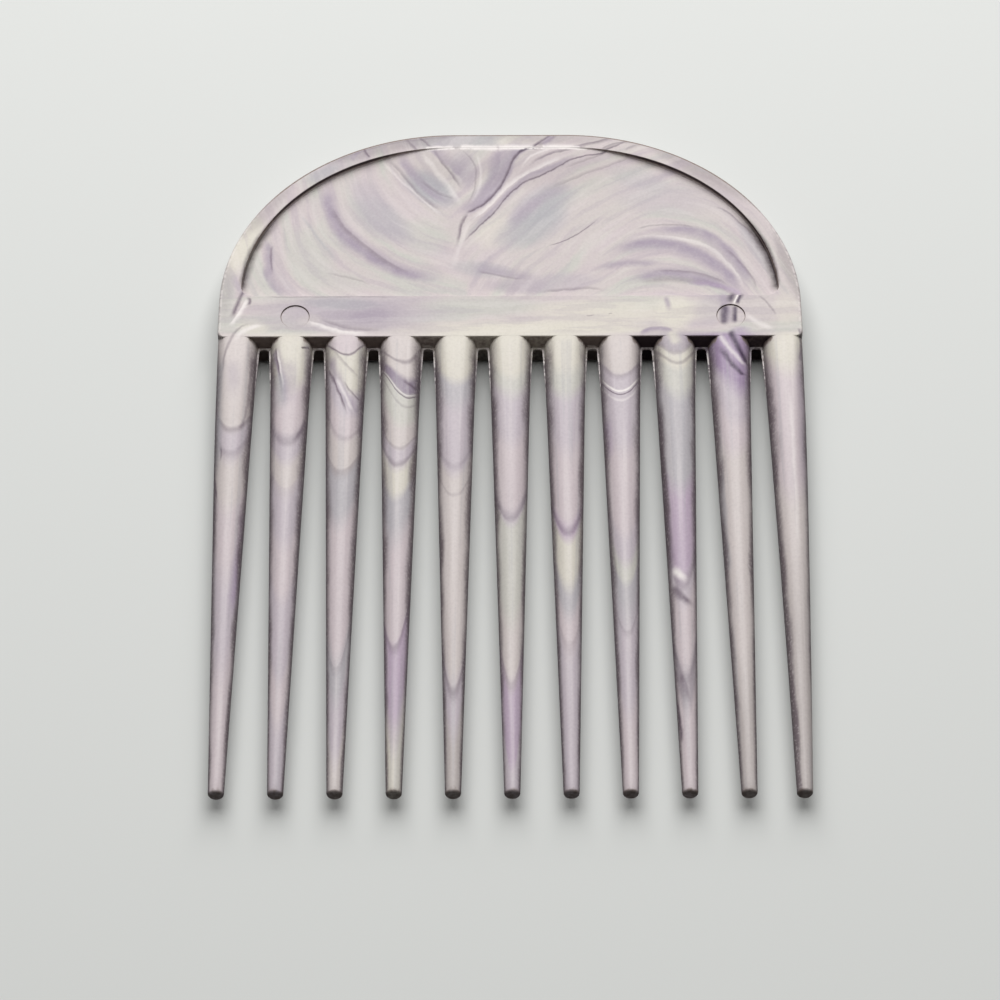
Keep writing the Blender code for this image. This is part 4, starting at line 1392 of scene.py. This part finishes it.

# %% [markdown]
# ## How far the melt had come
#
# In a tooth the colour depends on one number: how far down the melt had flowed when it froze.
# That is the distance from the root, plus a bend that grows towards the flanks and turns each
# front into a U. A few teeth were fed from one side, and their fronts are skewed. The group also
# tells which tooth a place is in, how near it is to a flank, where shade is painted, and how near
# it is to the middle, where a highlight is painted along the crown.

# %% Measure the flow in the teeth
BEND_AT_ROOT = 3.8
BEND_GROWTH = 0.075
BEND_POWER = 2.3
SKEWS = [0.6, -0.4, 3.0, 3.2, 0.4, 0.6, 0.0, -0.3, 1.0, 3.4, 0.5]
FLANK_WANDER = 0.7
FLANK_SIDE = (0.58, 1.0)
CROWN_SIDE = (0.42, 0.0)
NOISE_APART = 7.3
WANDER_ALONG = 0.11
SKEW_FADE = [(0.0, 0.0), (3.0, 0.1), (8.0, 1.0), (13.0, 0.9), (20.0, 0.1), (80.0, 0.0)]


def build_tooth_flow():
    outputs = {"Tooth": NUMBER, "Flow": NUMBER, "Flank": NUMBER, "Crown": NUMBER}
    board, given, result = new_group("tooth_flow", {"Drawing": ARROW, "Chart": ARROW}, outputs)
    true_across, true_up, _ = board.unpack(given["Drawing"])
    chart_up = board.unpack(given["Chart"])[1]
    number = board.math("MULTIPLY_ADD", true_across, 1 / TOOTH_PITCH, TOOTH_COUNT / 2)
    number = board.math("MINIMUM", board.math("MAXIMUM", board.math("FLOOR", number), 0.0), TOOTH_COUNT - 1.0)
    middle = board.math("MULTIPLY_ADD", number, TOOTH_PITCH, -TOOTH_PITCH * (TOOTH_COUNT - 1) / 2)
    true_down = board.math("MAXIMUM", board.math("MULTIPLY", true_up, -1.0), 0.0)
    taper = (TIP_WIDTH - ROOT_WIDTH) / 2 / TOOTH_LENGTH
    half_tooth = board.math("MULTIPLY_ADD", true_down, taper, ROOT_WIDTH / 2)
    side = board.math("DIVIDE", board.math("SUBTRACT", true_across, middle), half_tooth)
    side = board.math("MINIMUM", board.math("MAXIMUM", side, -1.0), 1.0)
    off_centre = board.math("ABSOLUTE", side)
    own_side = board.math("MULTIPLY_ADD", number, NOISE_APART, side)
    place = board.pack(own_side, board.math("MULTIPLY", true_up, WANDER_ALONG), 0.0)
    wander = board.math("SUBTRACT", board.noise(place, 1.0, 4.0), 0.5)
    bend = board.math("POWER", off_centre, BEND_POWER)
    bend = board.math("MULTIPLY", bend, board.math("MULTIPLY_ADD", true_down, BEND_GROWTH, BEND_AT_ROOT))
    skewed = board.math("MULTIPLY", side, board.curve(number, list(enumerate(SKEWS))))
    skewed = board.math("MULTIPLY", skewed, board.curve(true_down, SKEW_FADE))
    flow = board.math("SUBTRACT", board.math("SUBTRACT", bend, chart_up), skewed)
    board.plug(result["Tooth"], number)
    board.plug(result["Flow"], flow)
    wandering = board.math("MULTIPLY_ADD", wander, FLANK_WANDER, off_centre)
    board.plug(result["Flank"], board.span(wandering, *FLANK_SIDE))
    board.plug(result["Crown"], board.span(off_centre, *CROWN_SIDE))
    return board.tree


TOOTH_FLOW = build_tooth_flow()
print("flow nodes:", len(TOOTH_FLOW.nodes))

# %% [markdown]
# ## Each tooth's colours
#
# Each channel filled with one colour after another, so a tooth is banded from its root to its
# tip. A short chart is enough for that. Every band names one colour, and the millimetres
# of flow where it begins and ends, and a colour ramp blends from each band to the next. The
# teeth are thinner than the handle and look paler, so they have pale mixes of their own. A
# comparison with the tooth's number lets one ramp through. Where the handle meets the teeth,
# both take the first colour of each ramp, so that no seam shows.

# %% Fill the teeth
ROOT_SHADE = 0.925
NECK_SHADE = 0.88
TIP_SHADE = 0.86
NECK_SHARE = 0.07
PALE_CREAM = tint("e3ddd1")
PALE_PEARL = tint("dcd2cf")
PALE_ROSE = tint("dacdd0")
PALE_LILAC = tint("cfc4cb")
PALE_SAGE = tint("d6d3cb")
PALE_ASH = tint("c4bfc3")
PALE_VIOLET = tint("c8b5c7")
TOOTH_BANDS = [
    [(PALE_PEARL, 0, 17), (PALE_LILAC, 19, 22), (PALE_PEARL, 25, 31), (PALE_ROSE, 34, 41),
     (PALE_LILAC, 48, 57), (PALE_ROSE, 64, 79)],
    [(PALE_CREAM, 0, 9), (PALE_ROSE, 12, 18), (PALE_LILAC, 20, 23), (PALE_PEARL, 25, 28),
     (PALE_LILAC, 31, 37), (PALE_ROSE, 41, 47), (PALE_LILAC, 50, 61), (PALE_ROSE, 64, 68),
     (PALE_LILAC, 72, 79)],
    [(PALE_ROSE, 0, 3), (PALE_CREAM, 4, 9), (PALE_LILAC, 11, 14), (PALE_ROSE, 16, 19),
     (PALE_PEARL, 21, 25), (PALE_ASH, 27, 33), (PALE_ROSE, 37, 57), (PALE_ASH, 61, 64),
     (PALE_LILAC, 68, 74), (PALE_PEARL, 78, 79)],
    [(PALE_PEARL, 0, 7), (MAUVE, 8.2, 10), (PALE_SAGE, 11, 16), (PALE_PEARL, 18, 21),
     (PALE_LILAC, 22, 24), (PALE_CREAM, 26, 29), (PALE_ASH, 31, 35), (PALE_ROSE, 40, 55),
     (PALE_VIOLET, 57, 68), (PALE_CREAM, 76, 79)],
    [(PALE_CREAM, 0, 8), (PALE_ASH, 10, 12), (PALE_LILAC, 15, 25), (PALE_PEARL, 27, 61),
     (PALE_LILAC, 65, 69), (PEARL, 74, 79)],
    [(PALE_CREAM, 0, 7), (PALE_SAGE, 9, 10), (PALE_LILAC, 13, 19), (PALE_ROSE, 22, 32),
     (PALE_LILAC, 34, 34.5), (PALE_SAGE, 36, 50), (PALE_PEARL, 55, 61), (PALE_VIOLET, 65, 76),
     (PALE_LILAC, 78, 79)],
    [(PALE_CREAM, 0, 6), (PALE_SAGE, 8.5, 10.5), (PALE_LILAC, 13, 20), (PALE_ROSE, 24, 34),
     (PALE_VIOLET, 36.5, 37), (PALE_CREAM, 39, 45), (PALE_ASH, 48, 50), (PALE_ROSE, 53, 56),
     (PALE_LILAC, 60, 79)],
    [(PALE_PEARL, 0, 7), (PALE_LILAC, 8, 20), (PALE_ROSE, 24, 36),
     (PALE_LILAC, 38.5, 41), (PALE_SAGE, 43.5, 45), (PALE_ASH, 46.5, 49), (PALE_LILAC, 55, 66),
     (PALE_ROSE, 71, 79)],
    [(LILAC, 0, 3), (PALE_CREAM, 4, 6), (PALE_SAGE, 7, 10), (PALE_ASH, 13, 27), (PALE_VIOLET, 31, 43),
     (PALE_LILAC, 47, 48), (PALE_ROSE, 51, 59), (LILAC, 62, 66), (PALE_ROSE, 69, 79)],
    [(VIOLET, 0, 8), (PALE_LILAC, 12, 15), (PALE_ROSE, 18, 21), (PALE_PEARL, 24, 57),
     (PEARL, 68, 79)],
    [(PALE_CREAM, 0, 5), (PALE_ROSE, 9, 28), (PALE_PEARL, 33, 38), (PEARL, 55, 79)],
]


def ramp_stops(bands):
    """A stop where each band begins and where it ends, and a little darker below the root."""
    stops = []
    for colour, begins, ends in bands:
        for place in (begins, ends):
            share = place / TOOTH_LENGTH
            shade = NECK_SHADE + (TIP_SHADE - NECK_SHADE) * share
            shade += (ROOT_SHADE - NECK_SHADE) * (1 - ramp_up(share, 0.0, NECK_SHARE))
            stops.append((share, (*(level * shade for level in colour[:3]), 1.0)))
    return stops


def root_colour(board, across):
    """The colour at each tooth's root, blended from tooth to tooth."""
    place = board.math("MULTIPLY_ADD", across, 1 / TOOTH_PITCH / TOOTH_COUNT, 0.5)
    stops = [((i + 0.5) / TOOTH_COUNT, ramp_stops(bands)[0][1]) for i, bands in enumerate(TOOTH_BANDS)]
    return board.ramp(place, stops)


def fill_teeth(board, flow, numbers):
    """The colour of the teeth with these numbers."""
    share = board.math("DIVIDE", flow["Flow"], TOOTH_LENGTH)
    colour = board.ramp(share, ramp_stops(TOOTH_BANDS[numbers[0]]))
    for number in numbers[1:]:
        is_this_tooth = board.math("COMPARE", flow["Tooth"], float(number), 0.5)
        colour = board.mix(is_this_tooth, colour, board.ramp(share, ramp_stops(TOOTH_BANDS[number])))
    return colour


print("teeth filled:", len(TOOTH_BANDS), "with bands:", sum(len(bands) for bands in TOOTH_BANDS))

# %% [markdown]
# ## Fronts in the teeth
#
# Thin dark or bright lines mark the strongest fronts. Each tooth's flow is kept apart from the
# next by adding a hundred for each tooth, so one number says both which tooth and how far.

# %% List the fronts
FLOW_APART = 100.0
FRONTS = [
    (0, 17.8, 0.85, 1.19, 0.41, PLUM),
    (0, 22.0, 0.85, 2.04, 0.26, PLUM),
    (1, 20.3, 2.21, 1.36, 0.34, PLUM),
    (1, 28.8, 0.68, 2.55, 0.19, MAUVE),
    (2, 3.5, 0.35, 0.4, 0.75, PLUM),
    (2, 19.4, 0.85, 1.02, 0.22, PLUM),
    (2, 25.4, 0.68, 2.21, 0.3, PLUM),
    (2, 59.9, 0.51, 2.55, 0.22, PLUM),
    (3, 4.9, 0.59, 0.59, 0.52, PLUM),
    (3, 11.0, 0.22, 0.3, 0.85, PLUM),
    (3, 10.55, 0.25, 0.2, 0.6, WHITE),
    (3, 12.9, 0.59, 0.42, 0.26, PLUM),
    (3, 21.3, 0.59, 0.59, 0.26, PLUM),
    (3, 24.3, 1.02, 0.68, 0.41, PLUM),
    (3, 56.3, 0.85, 2.38, 0.38, PLUM),
    (4, 24.5, 0.85, 1.19, 0.19, PLUM),
    (4, 29.8, 0.51, 0.68, 0.22, PLUM),
    (4, 64.2, 1.53, 2.55, 0.45, PLUM),
    (5, 34.2, 2.04, 0.85, 0.34, PLUM),
    (5, 62.6, 0.85, 2.72, 0.26, PLUM),
    (6, 36.6, 1.7, 1.02, 0.41, PLUM),
    (6, 56.5, 1.36, 2.72, 0.19, PLUM),
    (7, 7.7, 0.51, 1.19, 0.3, PLUM),
    (7, 10.7, 0.45, 0.35, 1.0, WHITE),
    (7, 11.35, 0.22, 0.3, 0.85, PLUM),
    (7, 12.5, 0.5, 0.4, 0.4, WHITE),
    (7, 54.0, 0.68, 1.53, 0.22, PLUM),
    (8, 3.5, 1.02, 0.34, 0.22, PLUM),
    (8, 5.2, 0.59, 0.68, 0.41, PLUM),
    (8, 46.0, 2.72, 1.7, 0.34, PLUM),
    (8, 62.0, 1.7, 3.4, 0.26, PLUM),
]


def draw_fronts(board, flow, colour, numbers):
    numbered_flow = board.math("MULTIPLY_ADD", flow["Tooth"], FLOW_APART, flow["Flow"])
    for number, place, before, after, strength, shade in FRONTS:
        if number not in numbers:
            continue
        given = {
            "Flow": numbered_flow,
            "At": number * FLOW_APART + place,
            "Before": before,
            "After": after,
            "Strength": strength,
        }
        colour = board.mix(board.use(FLOW_FRONT, given)["Mask"], colour, shade)
    return colour


print("fronts:", len(FRONTS))

# %% [markdown]
# ## Gloss, grain, wear, painted shade and painted highlights
#
# Polished steel moulds give the plastic a soft gloss. Handling leaves smudges and hairline
# scratches and rubs the rims dull, and the painted shade is kept matte. The group also paints
# colour from the two vertex numbers: shade from brown to near-black, and white for wear and for
# the painted highlights, each broken up by grain. Roughness carries the smudges and the rubbed
# and highlighted places. The height carries what is too fine to model: the slight orange peel of
# a moulded face, and the scratches, which are noise stretched into lines.

# %% Build the surface
GLOSS = (0.30, 0.42)
WORN_ROUGHNESS = 0.5
SHADE_ROUGHNESS = 0.85
PEEL_DEPTH = 0.00003
PEEL_STRENGTH = 0.4
SHINE = 0.2
SCRATCH_DEPTH = 0.35
SPECKS_PER_MM = 2.4
DARK_SPECKS = (0.52, 0.34)
LIGHT_SPECKS = (0.52, 0.70)
GRAIN_PER_MM = 1.3
WEAR_AND_HIGHLIGHT_GRAIN = (0.40, 0.56)
WEAR_AND_HIGHLIGHT_WHITE = 0.38
SHADE_GRAIN = 0.5
BROWN_FROM = (0.30, 0.62)
NEAR_BLACK_FROM = (0.62, 0.92)
SHADE_COVER = 0.97
SMUDGES_PER_MM = 0.11
SMUDGED = (0.35, 0.7)
PEEL_PER_MM = 1.6
SCRATCHES_PER_MM = (5.5, 0.16, 1.0)
SCRATCHED = (0.66, 0.72)


def build_surface():
    board, given, result = new_group(
        "wear_shade_and_highlight",
        {"Colour": SHADE, "Drawing": ARROW, "Grain": NUMBER},
        {"Colour": SHADE, "Roughness": NUMBER, "Height": NUMBER},
    )
    drawing = given["Drawing"]
    painted_shade, wear_and_highlight = (
        board.node("ShaderNodeAttribute", {"attribute_name": name}).outputs["Fac"]
        for name in ("painted_shade", "edge_wear_and_highlight")
    )
    grain = board.noise(drawing, GRAIN_PER_MM, 4.0)
    rubbed_and_highlit = board.math("MULTIPLY", wear_and_highlight, board.span(grain, *WEAR_AND_HIGHLIGHT_GRAIN))
    specks = board.noise(drawing, SPECKS_PER_MM)
    colour = board.mix(board.span(specks, *DARK_SPECKS, 0.0, given["Grain"]), given["Colour"], DUSK)
    colour = board.mix(board.span(specks, *LIGHT_SPECKS, 0.0, given["Grain"]), colour, WHITE)
    # Wear and the painted highlights turn the colour white.
    colour = board.mix(board.math("MULTIPLY", rubbed_and_highlit, WEAR_AND_HIGHLIGHT_WHITE), colour, WHITE)
    # Painted shade: brown where thin, near-black where thick, broken up by grain.
    shade_depth = board.math("MULTIPLY_ADD", board.math("SUBTRACT", grain, 0.5), SHADE_GRAIN, painted_shade)
    shade_colour = board.mix(board.span(shade_depth, *NEAR_BLACK_FROM), BROWN, NEAR_BLACK)
    covered = board.span(shade_depth, *BROWN_FROM, 0.0, SHADE_COVER)
    board.plug(result["Colour"], board.mix(covered, colour, shade_colour))
    roughness = board.span(board.noise(drawing, SMUDGES_PER_MM, 4.0), *SMUDGED, *GLOSS)
    roughness = board.blend(board.math("MINIMUM", rubbed_and_highlit, 1.0), roughness, WORN_ROUGHNESS)
    board.plug(result["Roughness"], board.blend(painted_shade, roughness, SHADE_ROUGHNESS))
    peel = board.noise(drawing, PEEL_PER_MM)
    scratches = board.noise(board.vector("MULTIPLY", drawing, SCRATCHES_PER_MM), 1.0, 3.0)
    scratched = board.span(scratches, *SCRATCHED)
    board.plug(result["Height"], board.math("MULTIPLY_ADD", scratched, -SCRATCH_DEPTH, peel))
    return board.tree


SURFACE = build_surface()


def finish(board, shader, colour, drawing, grain):
    worn = board.use(SURFACE, {"Colour": colour, "Drawing": drawing, "Grain": grain})
    relief = {"Height": worn["Height"], "Distance": PEEL_DEPTH, "Strength": PEEL_STRENGTH}
    board.plug(shader.inputs["Specular IOR Level"], SHINE)
    board.plug(shader.inputs["Base Color"], worn["Colour"])
    board.plug(shader.inputs["Roughness"], worn["Roughness"])
    board.plug(shader.inputs["Normal"], board.node("ShaderNodeBump", None, relief).outputs[0])


print("surface nodes:", len(SURFACE.nodes))

# %% [markdown]
# ## Laying clouds and veins
#
# A render works out every node of a material for every ray that meets it, so a vein at the left
# end would cost time at the right end too. The pick is therefore divided into six patches, and
# each patch has a copy of the plastic with only the clouds and veins that come near it. The test
# is a box round the route, widened by the vein's own width and by the drift towards the back.

# %% Lay clouds and veins
NEAR = 1.5


def comes_near(points, margin, box):
    left, right, low, high = box
    margin += NEAR
    return (
        min(x for x, _ in points) - margin < right
        and max(x for x, _ in points) + margin > left
        and min(y for _, y in points) - margin < high
        and max(y for _, y in points) + margin > low
    )


def lay_clouds(board, point, colour, box):
    for name, shade, strength, centre, (long_radius, short_radius), turn in CLOUDS:
        if not comes_near([centre], max(long_radius, short_radius), box):
            continue
        cosine, sine = math.cos(math.radians(turn)), math.sin(math.radians(turn))
        given = {
            "Point": point,
            "Centre": (*centre, 0.0),
            "Long Axis": (cosine / long_radius, sine / long_radius, 0.0),
            "Short Axis": (-sine / short_radius, cosine / short_radius, 0.0),
            "Strength": strength,
        }
        colour = board.mix(board.use(SOFT_PATCH, given, name)["Mask"], colour, shade)
    return colour


def lay_veins(board, point, shreds, colour, veins, box):
    for name, shade, strength, (left, right), (begins, ends), points in veins:
        if not comes_near(points, max(left, right), box):
            continue
        along, aside, route, length = follow(board, point, points)
        given = {
            "Along": along,
            "Aside": aside,
            "Route": route,
            "Length": length,
            "Left Edge": left,
            "Right Edge": right,
            "Start Fade": begins,
            "End Fade": ends,
            "Strength": strength,
            "Shreds": shreds,
        }
        colour = board.mix(board.use(STREAK, given, name)["Mask"], colour, shade)
    return colour


print("ready to lay clouds and veins")

# %% [markdown]
# ## The two kinds of patch
#
# A patch of the handle is ground, clouds and veins. A patch of the teeth is the ramps, faint
# threads that run the length of the teeth, and the fronts, with a painted highlight along the
# middle of each crown and painted shade on the flanks. Both end with the crossing veins and the
# same surface.

# %% Write the two recipes
ROOT_BLEND_ABOVE = 1.1
ROOT_BLEND_BELOW = -1.6
THREAD_LIGHT = 0.15
THREAD_DARK = 0.30
FLANK_PAINTED_SHADE = 0.88
HANDLE_GRAIN = 0.05
FEATHER_DARK = 0.20
FEATHER_LIGHT = 0.10
TOOTH_GRAIN = 0.06
FLANK_GRAIN = 0.22
CROWN_HIGHLIGHT = 0.08
DARK_FEATHERS = (0.51, 0.60)
LIGHT_FEATHERS = (0.46, 0.38)
LIGHT_THREADS = (0.52, 0.68)
DARK_THREADS = (0.46, 0.32)
FLANK_PAINTED_SHADE_FULL_BELOW = -4.0


def start_material(name):
    material = bpy.data.materials.new(name)
    shader = plain_shader(material)
    board = Board(material.node_tree)
    return material, shader, board, board.use(CHART)


def handle_plastic(name, left, right):
    material, shader, board, chart = start_material(name)
    box = (left + BACK_DRIFT[0], right, 0.0, HANDLE_HEIGHT + BACK_DRIFT[1])
    across, up, _ = board.unpack(chart["Drawing"])
    point = chart["Handle Chart"]
    ground = board.use(HANDLE_GROUND, {"Chart": point})
    colour = lay_clouds(board, point, board.ramp(ground["Threads"], GROUND), box)
    colour = board.mix(board.span(ground["Feathers"], *DARK_FEATHERS, 0.0, FEATHER_DARK), colour, MAUVE)
    colour = board.mix(board.span(ground["Feathers"], *LIGHT_FEATHERS, 0.0, FEATHER_LIGHT), colour, WHITE)
    colour = lay_veins(board, point, chart["Shreds"], colour, HANDLE_VEINS, box)
    colour = board.mix(board.span(up, ROOT_BLEND_ABOVE, 0.0), colour, root_colour(board, across))
    box = (left, right, 0.0, HANDLE_HEIGHT)
    colour = lay_veins(board, chart["Tooth Chart"], chart["Shreds"], colour, CROSSING_VEINS, box)
    finish(board, shader, colour, chart["Drawing"], HANDLE_GRAIN)
    return material


def tooth_plastic(name, left, right):
    material, shader, board, chart = start_material(name)
    numbers = [i for i, centre in enumerate(tooth_centres()) if left < centre < right]
    across, up, _ = board.unpack(chart["Drawing"])
    flow = board.use(TOOTH_FLOW, {"Drawing": chart["Drawing"], "Chart": chart["Tooth Chart"]})
    colour = fill_teeth(board, flow, numbers)
    colour = board.mix(board.span(chart["Threads"], *LIGHT_THREADS, 0.0, THREAD_LIGHT), colour, WHITE)
    colour = board.mix(board.span(chart["Threads"], *DARK_THREADS, 0.0, THREAD_DARK), colour, ASH)
    # A painted highlight along the middle of each crown.
    colour = board.mix(board.math("MULTIPLY", flow["Crown"], CROWN_HIGHLIGHT), colour, WHITE)
    colour = draw_fronts(board, flow, colour, numbers)
    colour = board.mix(board.span(up, ROOT_BLEND_BELOW, 0.0), colour, root_colour(board, across))
    box = (left, right, -TOOTH_LENGTH, 0.0)
    colour = lay_veins(board, chart["Tooth Chart"], chart["Shreds"], colour, CROSSING_VEINS, box)
    # Painted shade on the flanks, reaching full strength a few millimetres below the root.
    below_root = board.span(up, 0.0, FLANK_PAINTED_SHADE_FULL_BELOW, 0.0, FLANK_PAINTED_SHADE)
    colour = board.mix(board.math("MULTIPLY", flow["Flank"], below_root), colour, DUSK)
    grain = board.math("MULTIPLY_ADD", flow["Flank"], FLANK_GRAIN, TOOTH_GRAIN)
    finish(board, shader, colour, chart["Drawing"], grain)
    return material


print("recipes ready")

# %% [markdown]
# ## The dressed pick
#
# Each face takes the patch that its middle lies in. The dressed mesh stands for the imported solid,
# which is hidden, and rides with the only body there is.

# %% Dress and attach the pick
PAST_THE_PICK = 60.0
patch_limits = [-PAST_THE_PICK, *PATCH_EDGES, PAST_THE_PICK]
fused.materials.clear()
for patch_name, left, right in zip(("left", "middle", "right"), patch_limits, patch_limits[1:]):
    for plastic in (handle_plastic(f"marbled_handle_{patch_name}", left, right),
                    tooth_plastic(f"marbled_teeth_{patch_name}", left, right)):
        fused.materials.append(plastic)
        print(plastic.name, "nodes:", len(plastic.node_tree.nodes))
for face in fused.polygons:
    across, up, _ = (face.center - BAND_EDGE) / MM
    column = sum(across > patch_edge for patch_edge in PATCH_EDGES)
    face.material_index = 2 * column + (up < 0)
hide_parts("comb_moulding")
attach(pick, "root")
